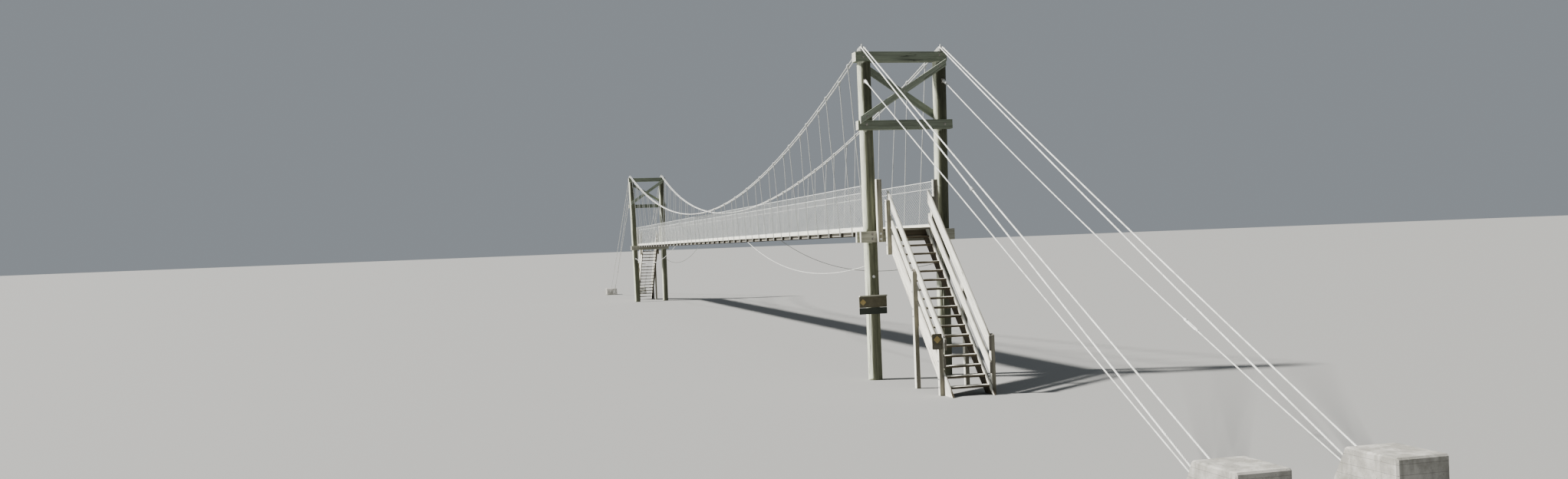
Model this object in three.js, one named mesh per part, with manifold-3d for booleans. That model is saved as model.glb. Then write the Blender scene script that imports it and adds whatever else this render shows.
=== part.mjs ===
import * as THREE from "three";
import { mergeVertices } from "three/addons/utils/BufferGeometryUtils.js";
import Module from "manifold-3d";

// Suspension footbridge, a model at half the real size: two timber pole towers, twin main
// ropes over each pole, hangers, a boarded deck between nets, and a steep stair at each end.
// X runs across the deck, Y along it and Z up. The origin is on the ground at mid-span.

const wasm = await Module();
wasm.setup();

// Driving dimensions, each a real size in metres turned into millimetres of the model.
const METRE = 500;
const SEAT = 0.3;
const bays = 44;
const bay = 1.07 * METRE;
const span = bays * bay;
const halfSpan = span / 2;

const rise = 0.19 * METRE;
const going = 0.196 * METRE;
const steps = 18;
const deckTop = steps * rise;
const floorThickness = 0.045 * METRE;
const deckHalf = 0.66 * METRE;
const deckOverhang = 0.37 * METRE;

const poleRadius = 0.16 * METRE;
const leftPoleX = -0.889 * METRE;
const rightPoleX = 0.8 * METRE;
const rightPoleLean = 0.0182;
const capLow = 7.23 * METRE;
const capHigh = 7.45 * METRE;
const capLeft = -1.117 * METRE;
const capRight = 1.08 * METRE;
const capHalfWidth = 0.14 * METRE;

const crossLow = 5.66 * METRE;
const crossHigh = 5.87 * METRE;
const crossLeft = -1.164 * METRE;
const crossRight = 1.092 * METRE;
const crossFront = 0.31 * METRE;
const housing = 0.05 * METRE;


// Braces in the plane of the tower: ends, height at X 0, slope and width.
const braceThickness = 0.06 * METRE;
const frontBrace = {
  left: -1.12 * METRE,
  right: 0.97 * METRE,
  midZ: 6.565 * METRE,
  slope: 0.62,
  width: 0.14 * METRE,
};
const rearBrace = {
  left: -0.95 * METRE,
  right: 1.0 * METRE,
  midZ: 6.59 * METRE,
  slope: -0.67,
  width: 0.166 * METRE,
};

const bearerDepth = 0.255 * METRE;
const bearerThickness = 0.1 * METRE;
const bearerLeft = -1.17 * METRE;
const bearerRight = 1.08 * METRE;

const transomWidth = 0.05 * METRE;
const transomDepth = 0.1 * METRE;
const runnerX = 0.56 * METRE;
const runnerWidth = 0.06 * METRE;
const runnerDepth = 0.085 * METRE;
const runnerDrop = 0.003 * METRE;
const kerbThickness = 0.045 * METRE;
const kerbHigh = deckTop + 0.0625 * METRE;

const ropeRadius = 0.0165 * METRE;
const saddleRadius = 0.17 * METRE;
const saddleCrown = 7.57 * METRE;
const ropeSag = 3.0 * METRE;
const hangerSide = 0.014 * METRE;

// Where the ropes cross the saddles and enter the anchors, and the sag of the backstays
// between, for the left and right side seen from the stair of an end.
const innerRope = {
  midX: 0.69 * METRE,
  left: { saddleX: 0.888 * METRE, anchorX: 0.94 * METRE, sag: 0.015 * METRE },
  right: { saddleX: 0.945 * METRE, anchorX: 0.83 * METRE, sag: 0.045 * METRE },
};
const outerRope = {
  midX: 0.76 * METRE,
  left: { saddleX: 0.958 * METRE, anchorX: 1.26 * METRE, sag: 0.015 * METRE },
  right: { saddleX: 1.015 * METRE, anchorX: 1.12 * METRE, sag: 0.045 * METRE },
};

const anchorRun = 13.6 * METRE;
const anchorEntry = 0.25 * METRE;
const anchorHigh = 0.45 * METRE;
const anchorBack = 14.6 * METRE;
const anchorNear = 0.68 * METRE;
const anchorFar = 1.4 * METRE;

const lowerStayZ = 6.77 * METRE;
const lowerStayEntry = 0.13 * METRE;
const leftStay = { topX: 0.93 * METRE, anchorX: 1.2 * METRE, sag: 0.015 * METRE };
const rightStay = { topX: 0.946 * METRE, anchorX: 0.9 * METRE, sag: 0.17 * METRE };
const lowerStayRadius = 0.012 * METRE;

const guyRadius = 0.01 * METRE;
const guyLowZ = 2.32 * METRE;
const guyLowY = 5.5 * METRE;
const guyCurve = 0.0101 / METRE;
const guyBays = 14;

const netTop = 4.47 * METRE;
const netSecond = 4.3 * METRE;
const wireRadius = 0.0075 * METRE;
const wireSide = 0.0085 * METRE;
const netX = 0.645 * METRE;

const treadLeft = -0.51 * METRE;
const treadRight = 0.32 * METRE;
const treadThickness = 0.045 * METRE;
const treadDepth = 0.22 * METRE;
const stringerThickness = 0.05 * METRE;
const stringerAbove = 0.03 * METRE;
const stringerBelow = 0.42 * METRE;
const landingRight = 0.43 * METRE;

// Newel posts on the front bearer, with the distance out where the wires of the net end.
const newelLow = 3.12 * METRE;
const newelDepth = 0.12 * METRE;
const leftNewel = { x: [-0.8, -0.68], high: 4.54 * METRE, netX: 0.705 * METRE };
const rightNewel = { x: [0.56, 0.66], high: 4.5 * METRE, netX: 0.62 * METRE };

// Stair posts and rails: [from, to] along Y, and heights, those of the rails over the nosings.
const leftRailing = {
  postWidth: 0.095 * METRE,
  posts: [
    { y: [-0.53, -0.43], z: [2.83, 4.29] },
    { y: [-2.11, -2.0], z: [0, 2.53] },
    { y: [-3.5, -3.4], z: [0, 1.2] },
  ],
  rails: [
    { y: [-3.5, -0.42], above: [0.17, 0.355] },
    { y: [-3.58, -0.33], above: [0.6, 0.82] },
  ],
};
const rightRailing = {
  postWidth: 0.09 * METRE,
  posts: [
    { y: [-0.66, -0.56], z: [2.83, 4.19] },
    { y: [-2.33, -2.22], z: [0, 2.33] },
    { y: [-3.72, -3.62], z: [0, 1.21] },
  ],
  rails: [
    { y: [-3.75, -0.56], above: [0.27, 0.5] },
    { y: [-3.75, -0.55], above: [0.72, 1.02] },
  ],
};

const boardThickness = 0.02 * METRE;
const boardLeft = -1.26 * METRE;
const boardRight = -0.61 * METRE;
const boardLow = 1.5 * METRE;
const boardHigh = 1.9 * METRE;
const ledgeDepth = 0.07 * METRE;
const ledgeThickness = 0.03 * METRE;
const footSignLeft = -0.79 * METRE;
const footSignRight = -0.58 * METRE;
const footSignLow = 0.935 * METRE;
const footSignHigh = 1.25 * METRE;

const poleX = (side, z) => (side < 0 ? leftPoleX : rightPoleX + rightPoleLean * z);
const endLine = (line, side) => (side < 0 ? line.left : line.right);
const bearerFront = -(poleRadius - housing + SEAT + bearerThickness);

// Finishes.
const timberGrey = () => new THREE.MeshStandardMaterial({ color: 0x8d8f83, roughness: 0.9 });
const timberDark = () => new THREE.MeshStandardMaterial({ color: 0x555a54, roughness: 0.9 });
const timberPale = () => new THREE.MeshStandardMaterial({ color: 0xc9c6b8, roughness: 0.85 });
const galvanised = () =>
  new THREE.MeshStandardMaterial({ color: 0xc4c8c6, roughness: 0.45, metalness: 0.8 });
const wireMesh = () =>
  new THREE.MeshStandardMaterial({ color: 0xa9ada9, roughness: 0.5, metalness: 0.7 });
const concrete = () => new THREE.MeshStandardMaterial({ color: 0x9c9a92, roughness: 0.95 });
const signPaint = () => new THREE.MeshStandardMaterial({ color: 0x1d3a2a, roughness: 0.5 });

// Solids: joins and cuts made on closed geometry.
function solid(geometry) {
  const bare = geometry.index ? geometry.toNonIndexed() : geometry.clone();
  bare.deleteAttribute("normal");
  bare.deleteAttribute("uv");
  const merged = mergeVertices(bare, 1e-3);
  return new wasm.Manifold(
    new wasm.Mesh({
      numProp: 3,
      vertProperties: merged.attributes.position.array,
      triVerts: new Uint32Array(merged.index.array),
    }),
  );
}

function geometryOf(body) {
  const mesh = body.getMesh();
  return new THREE.BufferGeometry()
    .setAttribute("position", new THREE.BufferAttribute(mesh.vertProperties, 3))
    .setIndex(new THREE.BufferAttribute(mesh.triVerts, 1))
    .toNonIndexed();
}

const join = (geometries) => geometryOf(geometries.map(solid).reduce((a, b) => a.add(b)));
const cut = (geometry, tools) =>
  geometryOf(tools.map(solid).reduce((a, b) => a.subtract(b), solid(geometry)));

// A box between two corners.
function box(x0, x1, y0, y1, z0, z1) {
  return new THREE.BoxGeometry(x1 - x0, y1 - y0, z1 - z0).translate(
    (x0 + x1) / 2,
    (y0 + y1) / 2,
    (z0 + z1) / 2,
  );
}

// A flat outline in Y and Z, carried across from x0 to x1.
function plate(outline, x0, x1) {
  const shape = new THREE.Shape(outline.map(([y, z]) => new THREE.Vector2(y, z)));
  const turned = new THREE.Matrix4().makeBasis(
    new THREE.Vector3(0, 1, 0),
    new THREE.Vector3(0, 0, 1),
    new THREE.Vector3(1, 0, 0),
  );
  return new THREE.ExtrudeGeometry(shape, { depth: x1 - x0, bevelEnabled: false })
    .applyMatrix4(turned)
    .translate(x0, 0, 0);
}

// A bar of square section from one point to another.
function bar(from, to, side) {
  const along = new THREE.Vector3().subVectors(to, from);
  return new THREE.BoxGeometry(side, side, along.length())
    .applyQuaternion(
      new THREE.Quaternion().setFromUnitVectors(new THREE.Vector3(0, 0, 1), along.normalize()),
    )
    .translate((from.x + to.x) / 2, (from.y + to.y) / 2, (from.z + to.z) / 2);
}

// A route through chosen points, each of which keeps a ring of the rope around it.
class Route extends THREE.Curve {
  constructor(points) {
    super();
    this.points = points;
  }
  getPoint(t, target = new THREE.Vector3()) {
    const place = Math.min(t, 1) * (this.points.length - 1);
    const i = Math.min(Math.floor(place), this.points.length - 2);
    return target.copy(this.points[i]).lerp(this.points[i + 1], place - i);
  }
  getUtoTmapping(u) {
    return u;
  }
}

function rope(points, radius, sides) {
  const ring = Array.from({ length: sides }, (_, i) => {
    const turn = (i / sides) * Math.PI * 2;
    return new THREE.Vector2(Math.cos(turn) * radius, Math.sin(turn) * radius);
  });
  return new THREE.ExtrudeGeometry(new THREE.Shape(ring), {
    steps: points.length - 1,
    extrudePath: new Route(points),
  });
}

const bridge = new THREE.Group();

function place(parent, name, geometry, material) {
  const mesh = new THREE.Mesh(geometry, material);
  mesh.name = name;
  parent.add(mesh);
  return mesh;
}

// The lines of the ropes. Distances outward from a tower are positive away from the span.
const backSlope = (saddleCrown - anchorEntry) / anchorRun;
const backAngle = Math.atan(backSlope);
const spanAngle = Math.atan((4 * ropeSag) / span);

// Points between two ends of a rope that sags a little between them.
function sagging(from, to, sag, count) {
  return Array.from({ length: count + 1 }, (_, i) => {
    const share = i / count;
    const point = from.clone().lerp(to, share);
    point.z -= 4 * sag * share * (1 - share);
    return point;
  });
}

// A rope from its anchor up to the saddle, with X outward and Y away from the span.
function backstayRoute({ saddleX, anchorX, sag }) {
  const crown = [backAngle, backAngle / 2, 0, -spanAngle].map(
    (turn) =>
      new THREE.Vector3(
        saddleX,
        saddleRadius * Math.sin(turn),
        saddleCrown - saddleRadius * (1 - Math.cos(turn)),
      ),
  );
  const anchor = new THREE.Vector3(anchorX, anchorRun - SEAT, anchorEntry);
  return [...sagging(anchor, crown[0], sag, 6), ...crown.slice(1)];
}

// Points of a main rope: anchor, saddle, the hanging curve, the other saddle and anchor.
// The far end is the near one turned about, so its left side is the near right side.
function mainRopeRoute(side, line) {
  const nearEnd = backstayRoute(endLine(line, side)).map(
    (p) => new THREE.Vector3(side * p.x, -halfSpan - p.y, p.z),
  );
  const farEnd = backstayRoute(endLine(line, -side)).map(
    (p) => new THREE.Vector3(side * p.x, halfSpan + p.y, p.z),
  );
  const between = [];
  for (let i = 1; i < bays; i++) between.push(ropePoint(side, line, i));
  return [...nearEnd, ...between, ...farEnd.reverse()];
}

// The rope above bearer i: a parabola in height, and drawn in towards mid-span.
function ropePoint(side, line, i) {
  const y = -halfSpan + i * bay;
  const share = (y / halfSpan) ** 2;
  const { saddleX } = endLine(line, y < 0 ? side : -side);
  return new THREE.Vector3(
    side * (line.midX + (saddleX - line.midX) * share),
    y,
    saddleCrown - ropeSag * (1 - share),
  );
}

// Twin main ropes of one side; the hangers go in turn on the outer and the inner rope.
function mainRope(side, line, firstHanger) {
  const pieces = [rope(mainRopeRoute(side, line), ropeRadius, 6)];
  const foot = deckHalf + hangerSide / 2 + SEAT;
  for (let i = firstHanger; i < bays; i += 2) {
    const top = ropePoint(side, line, i);
    const low = new THREE.Vector3(side * foot, top.y, deckTop - floorThickness - transomDepth);
    pieces.push(bar(low, top, hangerSide));
  }
  return join(pieces);
}

for (const [sideName, side] of [
  ["left", -1],
  ["right", 1],
]) {
  place(bridge, `${sideName}_outer_main_rope`, mainRope(side, outerRope, 1), galvanised());
  place(bridge, `${sideName}_inner_main_rope`, mainRope(side, innerRope, 2), galvanised());
}

// Deck: transoms on the hangers, two runners halved into them, floor boards and kerbs.
const floorLow = deckTop - floorThickness;

function deckFrame() {
  const end = halfSpan - 0.3 * METRE;
  const pieces = [-1, 1].map((side) =>
    box(
      side * runnerX - runnerWidth / 2,
      side * runnerX + runnerWidth / 2,
      -end,
      end,
      floorLow - runnerDrop - runnerDepth,
      floorLow - runnerDrop,
    ),
  );
  for (let i = 1; i < bays; i++) {
    const y = -halfSpan + i * bay;
    pieces.push(
      box(
        -deckHalf,
        deckHalf,
        y - transomWidth / 2,
        y + transomWidth / 2,
        floorLow - transomDepth,
        floorLow - SEAT,
      ),
    );
  }
  return join(pieces);
}

place(bridge, "deck_transoms_and_runners", deckFrame(), timberGrey());

// The floor narrows to a landing in front of the tower, between the newel posts.
const deckEnd = halfSpan + deckOverhang;
const floorEnd = halfSpan - bearerFront;
const floorHalf = deckHalf - kerbThickness - SEAT;
place(
  bridge,
  "deck_floor",
  join([
    box(-floorHalf, floorHalf, -floorEnd, floorEnd, floorLow, deckTop),
    box(treadLeft, landingRight, -deckEnd, 0, floorLow, deckTop),
    box(-landingRight, -treadLeft, 0, deckEnd, floorLow, deckTop),
  ]),
  timberPale(),
);

const kerbEnd = halfSpan + 0.1 * METRE;
for (const [sideName, side] of [
  ["left", -1],
  ["right", 1],
]) {
  const inner = side * (deckHalf - kerbThickness);
  const outer = side * deckHalf;
  place(
    bridge,
    `${sideName}_kerb`,
    box(Math.min(inner, outer), Math.max(inner, outer), -kerbEnd, kerbEnd, floorLow, kerbHigh),
    timberPale(),
  );
}

// Net of one side: three long wires, drawn to the newel posts at their ends, and the
// slanting wires between them.
function net(side) {
  const x = side * netX;
  const low = kerbHigh + SEAT + wireRadius;
  const nearPost = side < 0 ? leftNewel : rightNewel;
  const farPost = side < 0 ? rightNewel : leftNewel;
  const postY = floorEnd - wireRadius * 0.3;
  const pieces = [low, netSecond, netTop].map((z) =>
    rope(
      [
        new THREE.Vector3(side * nearPost.netX, -postY, z),
        new THREE.Vector3(x, -halfSpan, z),
        new THREE.Vector3(x, halfSpan, z),
        new THREE.Vector3(side * farPost.netX, postY, z),
      ],
      wireRadius,
      4,
    ),
  );
  for (let i = 0; i < bays; i++) {
    const y0 = -halfSpan + i * bay;
    const up = i % 2 === 0;
    pieces.push(
      bar(
        new THREE.Vector3(x, y0, up ? low : netTop),
        new THREE.Vector3(x, y0 + bay, up ? netTop : low),
        wireSide,
      ),
    );
  }
  return join(pieces);
}

place(bridge, "left_net", net(-1), wireMesh());
place(bridge, "right_net", net(1), wireMesh());

// One end of the bridge, built about its tower: here -Y points away from the span.
function pole(side) {
  const round = new THREE.CylinderGeometry(poleRadius, poleRadius, capLow - SEAT, 16)
    .rotateX(Math.PI / 2)
    .translate(0, 0, (capLow - SEAT) / 2)
    .applyMatrix4(new THREE.Matrix4().makeShear(0, 0, 0, 0, side < 0 ? 0 : rightPoleLean, 0));
  const reach = poleRadius * 2;
  const bearerTop = floorLow - SEAT;
  const deckSeat = poleRadius - housing;
  const seats = [
    box(-reach, reach, -reach, -deckSeat, crossLow - SEAT, crossHigh + SEAT),
    box(-reach, reach, -reach, -deckSeat, bearerTop - bearerDepth - SEAT, bearerTop + SEAT),
    box(-reach, reach, deckSeat, reach, bearerTop - bearerDepth - SEAT, bearerTop + SEAT),
  ];
  return cut(round, seats).translate(poleX(side, 0), 0, 0);
}

function towerBearer(y0) {
  const top = floorLow - SEAT;
  return box(bearerLeft, bearerRight, y0, y0 + bearerThickness, top - bearerDepth, top);
}

// A brace plank, its ends cut upright.
function brace({ left, right, midZ, slope, width }, y0) {
  const half = (width / 2) * Math.sqrt(1 + slope * slope);
  const outline = [
    [left, midZ + slope * left - half],
    [right, midZ + slope * right - half],
    [right, midZ + slope * right + half],
    [left, midZ + slope * left + half],
  ];
  const shape = new THREE.Shape(outline.map(([x, z]) => new THREE.Vector2(x, z)));
  return new THREE.ExtrudeGeometry(shape, { depth: braceThickness, bevelEnabled: false })
    .rotateX(Math.PI / 2)
    .translate(0, y0 + braceThickness, 0);
}

// The front brace stands off the pole by the depth of the cross beam, on a packing block.
function packedFrontBrace() {
  const back = -crossFront - SEAT;
  const packingX = 0.9 * METRE;
  const packingZ = frontBrace.midZ + frontBrace.slope * packingX;
  const half = 0.05 * METRE;
  const packing = box(
    packingX - half,
    packingX + half,
    back - 0.5,
    -poleRadius - SEAT,
    packingZ - half,
    packingZ + half,
  );
  return join([brace(frontBrace, back - braceThickness), packing]);
}

// Saddle: a block with a rounded top, a fin between the ropes and a cheek on each side.
function saddle(x) {
  const half = 0.13 * METRE;
  const low = capHigh + SEAT;
  const radius = saddleRadius - ropeRadius - 2 * SEAT;
  const centreZ = saddleCrown - saddleRadius;
  const outline = [
    [-half, low],
    [half, low],
  ];
  for (let i = 0; i <= 6; i++) {
    const y = half - (i * half) / 3;
    outline.push([y, centreZ + Math.sqrt(radius * radius - y * y)]);
  }
  const width = 0.075 * METRE;
  const finHigh = 7.635 * METRE;
  const cheekHigh = 7.585 * METRE;
  const cheek = 0.012 * METRE;
  return join([
    plate(outline, -width, width),
    box(-0.008 * METRE, 0.008 * METRE, -0.04 * METRE, 0.04 * METRE, low, finHigh),
    box(-width - cheek, -width, -half, half, low, cheekHigh),
    box(width, width + cheek, -half, half, low, cheekHigh),
  ]).translate(x, 0, 0);
}

const saddleX = (side) =>
  (side * (endLine(innerRope, side).saddleX + endLine(outerRope, side).saddleX)) / 2;

// Anchor block, its sloping front square to the ropes that enter it.
function anchor(side) {
  const lean = backSlope;
  const outline = [
    [-anchorBack, 0],
    [-(anchorRun - anchorEntry * lean), 0],
    [-(anchorRun + (anchorHigh - anchorEntry) * lean), anchorHigh],
    [-anchorBack, anchorHigh],
  ];
  const x0 = side * anchorNear;
  const x1 = side * anchorFar;
  return plate(outline, Math.min(x0, x1), Math.max(x0, x1));
}

// Lower stay: an eye plate on the pole, a socket, and a rope down to the anchor block.
function lowerStay(side) {
  const line = side < 0 ? leftStay : rightStay;
  const start = new THREE.Vector3(side * line.topX, -poleRadius - 0.05 * METRE, lowerStayZ);
  const entryRun = anchorRun - (anchorEntry - lowerStayEntry) * backSlope - 2 * SEAT;
  const end = new THREE.Vector3(side * line.anchorX, -entryRun, lowerStayEntry);
  const route = sagging(start, end, line.sag, 8);
  const socketEnd = start.clone().lerp(route[1], 0.2);
  const eye = box(
    start.x - 0.05 * METRE,
    start.x + 0.05 * METRE,
    -poleRadius - 0.07 * METRE,
    -poleRadius - SEAT,
    lowerStayZ - 0.06 * METRE,
    lowerStayZ + 0.06 * METRE,
  );
  return join([
    rope(route, lowerStayRadius, 6),
    rope([start, socketEnd], lowerStayRadius * 2.2, 6),
    eye,
  ]);
}

// Storm guy: from an eye on the pole below the deck, sagging out to a transom.
function stormGuy(side) {
  const deckX = side * 0.6 * METRE;
  const towerX = poleX(side, guyLowZ);
  const points = [];
  const firstY = poleRadius + SEAT + 0.02 * METRE;
  const lastY = guyBays * bay;
  const top = floorLow - transomDepth - SEAT - guyRadius;
  const height = (y) => guyLowZ + guyCurve * (y - guyLowY) ** 2;
  const drop = height(lastY) - top;
  const count = 12;
  for (let i = 0; i <= count; i++) {
    const y = firstY + ((lastY - firstY) * i) / count;
    const share = i / count;
    points.push(
      new THREE.Vector3(towerX + (deckX - towerX) * share, y, height(y) - drop * share),
    );
  }
  const eye = box(
    towerX - 0.03 * METRE,
    towerX + 0.03 * METRE,
    poleRadius + SEAT,
    poleRadius + 0.05 * METRE,
    points[0].z - 0.04 * METRE,
    points[0].z + 0.04 * METRE,
  );
  return join([rope(points, guyRadius, 6), eye]);
}

// The stair: the line of the nosings, then stringers, treads and the board under the landing.
const stairStart = -deckOverhang - steps * going;
const nosingZ = (y) => (rise * (y - stairStart)) / going;

function stairFlight() {
  const top = floorLow - SEAT;
  const back = bearerFront - SEAT;
  const yAt = (z, above) => stairStart + ((z - above) * going) / rise;
  const outline = [
    [yAt(0, stringerAbove), 0],
    [yAt(0, -stringerBelow), 0],
    [back, nosingZ(back) - stringerBelow],
    [back, top],
    [yAt(top, stringerAbove), top],
  ];
  const pieces = [
    plate(outline, treadLeft - stringerThickness, treadLeft),
    plate(outline, treadRight, treadRight + stringerThickness),
  ];
  const x0 = treadLeft - stringerThickness / 2;
  const x1 = treadRight + stringerThickness / 2;
  for (let i = 1; i < steps; i++) {
    const y = stairStart + i * going;
    pieces.push(box(x0, x1, y, y + treadDepth, i * rise - treadThickness, i * rise));
  }
  const face = -deckOverhang + 1;
  pieces.push(box(x0, x1, face, face + 0.04 * METRE, deckTop - rise - 1, top));
  return join(pieces);
}

// Railing of one side of the stair: posts outside the stringer and boards on edge over it.
function stairRailing(side) {
  const railing = side < 0 ? leftRailing : rightRailing;
  const inner = side < 0 ? treadLeft : treadRight;
  const outer = inner + side * (stringerThickness + SEAT);
  const across = (from, to) => [Math.min(from, to), Math.max(from, to)];
  const [postLeft, postRight] = across(outer, outer + side * railing.postWidth);
  const [railLeft, railRight] = across(inner, outer + side);
  const posts = railing.posts.map(({ y, z }) =>
    box(postLeft, postRight, y[0] * METRE, y[1] * METRE, z[0] * METRE, z[1] * METRE),
  );
  const rails = railing.rails.map(({ y, above }) => {
    const [y0, y1] = y.map((value) => value * METRE);
    const [low, high] = above.map((value) => value * METRE);
    const outline = [
      [y0, nosingZ(y0) + low],
      [y1, nosingZ(y1) + low],
      [y1, nosingZ(y1) + high],
      [y0, nosingZ(y0) + high],
    ];
    return plate(outline, railLeft, railRight);
  });
  return join([...posts, ...rails]);
}

// Newel post on the face of the front bearer, where the net begins.
function newelPost({ x, high }) {
  const back = bearerFront - SEAT;
  return box(x[0] * METRE, x[1] * METRE, back - newelDepth, back, newelLow, high);
}

// Information board on the left pole, with a ledge along its top.
function infoBoard() {
  const back = -poleRadius - SEAT;
  const front = back - boardThickness;
  return join([
    box(boardLeft, boardRight, front, back, boardLow, boardHigh),
    box(boardLeft, boardRight, back - ledgeDepth, back, boardHigh - 1, boardHigh + ledgeThickness),
  ]);
}

function footSign() {
  const back = leftRailing.posts[2].y[0] * METRE - SEAT;
  const front = back - boardThickness;
  return box(footSignLeft, footSignRight, front, back, footSignLow, footSignHigh);
}

function addEnd(endName, turned) {
  const end = new THREE.Group();
  end.rotation.z = turned ? Math.PI : 0;
  end.position.y = turned ? halfSpan : -halfSpan;
  bridge.add(end);
  const sideOf = (local) => ((turned ? -local : local) < 0 ? "left" : "right");
  for (const side of [-1, 1]) {
    const name = `${endName}_${sideOf(side)}`;
    place(end, `${name}_pole`, pole(side), timberGrey());
    place(end, `${name}_saddle`, saddle(saddleX(side)), galvanised());
    place(end, `${name}_anchor_block`, anchor(side), concrete());
    place(end, `${name}_lower_stay`, lowerStay(side), galvanised());
    place(end, `${name}_storm_guy`, stormGuy(side), galvanised());
    place(end, `${name}_stair_railing`, stairRailing(side), timberPale());
    const newel = side < 0 ? leftNewel : rightNewel;
    place(end, `${name}_newel_post`, newelPost(newel), timberGrey());
  }
  place(
    end,
    `${endName}_cap_beam`,
    box(capLeft, capRight, -capHalfWidth, capHalfWidth, capLow, capHigh),
    timberDark(),
  );
  place(
    end,
    `${endName}_cross_beam`,
    box(crossLeft, crossRight, -crossFront, -(poleRadius - housing) - SEAT, crossLow, crossHigh),
    timberDark(),
  );
  const rearBraceY = poleRadius + SEAT;
  const rearBearerY = poleRadius - housing + SEAT;
  place(end, `${endName}_front_brace`, packedFrontBrace(), timberDark());
  place(end, `${endName}_rear_brace`, brace(rearBrace, rearBraceY), timberDark());
  place(end, `${endName}_front_deck_bearer`, towerBearer(bearerFront), timberGrey());
  place(end, `${endName}_rear_deck_bearer`, towerBearer(rearBearerY), timberGrey());
  place(end, `${endName}_stair_flight`, stairFlight(), timberPale());
  return end;
}

const nearEnd = addEnd("near", false);
addEnd("far", true);
place(nearEnd, "near_info_sign", infoBoard(), signPaint());
place(nearEnd, "near_foot_sign", footSign(), signPaint());

export default bridge;
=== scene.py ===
import math

import bpy
import numpy as np
from mathutils import Matrix


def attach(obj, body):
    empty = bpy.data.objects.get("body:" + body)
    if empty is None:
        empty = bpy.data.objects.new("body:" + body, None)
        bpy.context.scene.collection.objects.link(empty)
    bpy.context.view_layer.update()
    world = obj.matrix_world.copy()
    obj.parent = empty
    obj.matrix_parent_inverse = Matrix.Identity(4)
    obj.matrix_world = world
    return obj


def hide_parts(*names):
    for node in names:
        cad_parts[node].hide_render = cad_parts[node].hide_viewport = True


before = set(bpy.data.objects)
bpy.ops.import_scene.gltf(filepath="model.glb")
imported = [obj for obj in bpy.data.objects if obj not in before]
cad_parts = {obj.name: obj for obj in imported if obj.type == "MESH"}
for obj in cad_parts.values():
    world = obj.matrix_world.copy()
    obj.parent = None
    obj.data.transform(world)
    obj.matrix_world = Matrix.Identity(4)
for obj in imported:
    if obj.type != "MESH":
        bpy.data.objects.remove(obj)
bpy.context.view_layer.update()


# Viewpoint and studio.
# The model stands at half the real size on a plain pale floor, seen from the path at the foot
# of the near stair. One soft low sun from the left leaves the faces towards the eye in shade.

eye = np.array([-4.64428, -25.04022, 1.58424])
yaw, pitch, roll = 0.2359, 0.00339, 0.03829
ahead = np.array([math.sin(yaw) * math.cos(pitch), math.cos(yaw) * math.cos(pitch), math.sin(pitch)])
level = np.array([math.cos(yaw), -math.sin(yaw), 0.0])
down = np.cross(ahead, level)
right = math.cos(roll) * level + math.sin(roll) * down
upward = math.sin(roll) * level - math.cos(roll) * down

camera = bpy.data.objects.new("viewpoint", bpy.data.cameras.new("viewpoint"))
camera.data.lens = 28.0
camera.data.sensor_width = 36.0
camera.data.clip_end = 3000.0
camera.matrix_world = Matrix(
    [[*row, place] for row, place in zip(np.stack([right, upward, -ahead], axis=1), eye)]
    + [[0, 0, 0, 1]]
)
bpy.context.scene.collection.objects.link(camera)
bpy.context.scene.camera = camera

sun = bpy.data.objects.new("sun", bpy.data.lights.new("sun", "SUN"))
sun.data.energy = 13.0
sun.data.angle = math.radians(4.0)
sun.data.color = (1.0, 0.975, 0.93)
sun_from = np.array([-0.953, 0.302, 0.95])
sun.rotation_euler = (
    math.atan2(math.hypot(sun_from[0], sun_from[1]), sun_from[2]),
    0.0,
    math.atan2(sun_from[0], -sun_from[1]),
)
bpy.context.scene.collection.objects.link(sun)

world = bpy.data.worlds.new("studio")
bpy.context.scene.world = world
world.use_nodes = True
sky = world.node_tree.nodes["Background"].inputs
sky["Color"].default_value = (0.84, 0.92, 1.0, 1.0)
sky["Strength"].default_value = 0.3

reach = 900
floor_corners = [(-reach, -reach, 0), (reach, -reach, 0), (reach, reach, 0), (-reach, reach, 0)]
floor_mesh = bpy.data.meshes.new("floor")
floor_mesh.from_pydata(floor_corners, [], [(0, 1, 2, 3)])
floor_paint = bpy.data.materials.new("floor_paint")
floor_paint.use_nodes = True
paint = floor_paint.node_tree.nodes["Principled BSDF"].inputs
paint["Base Color"].default_value = (0.235, 0.235, 0.228, 1.0)
paint["Roughness"].default_value = 0.9
floor_mesh.materials.append(floor_paint)
floor = bpy.data.objects.new("floor", floor_mesh)
bpy.context.scene.collection.objects.link(floor)


# Tower poles.
# Four round poles of peeled softwood, with drying checks along the grain, pale on the side
# towards the sun and dark brown on the other: partly real sun bleaching, partly painted sunlight
# and painted shade. Beams and bearers are let into flats cut in their sides.
# From here on lengths are real metres, unless they are said to be the model's.

model_scale = 0.5
bays, bay = 44, 1.07
half_span = bays * bay / 2
ends = ("near", "far")
sides = ("left", "right")
outward = {"left": -1, "right": 1}
other = {"left": "right", "right": "left"}


class Value:
    """A shader number. An expression on Values adds its Math nodes."""

    def __init__(self, finish, socket):
        self.finish, self.socket = finish, socket

    def __add__(self, other):
        return self.finish.calculate("ADD", self, other)

    def __radd__(self, other):
        return self.finish.calculate("ADD", other, self)

    def __sub__(self, other):
        return self.finish.calculate("SUBTRACT", self, other)

    def __rsub__(self, other):
        return self.finish.calculate("SUBTRACT", other, self)

    def __mul__(self, other):
        return self.finish.calculate("MULTIPLY", self, other)

    def __rmul__(self, other):
        return self.finish.calculate("MULTIPLY", other, self)

    def __truediv__(self, other):
        return self.finish.calculate("DIVIDE", self, other)

    def __pow__(self, other):
        return self.finish.calculate("POWER", self, other)

    def __abs__(self):
        return self.finish.calculate("ABSOLUTE", self, 0.0)


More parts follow.
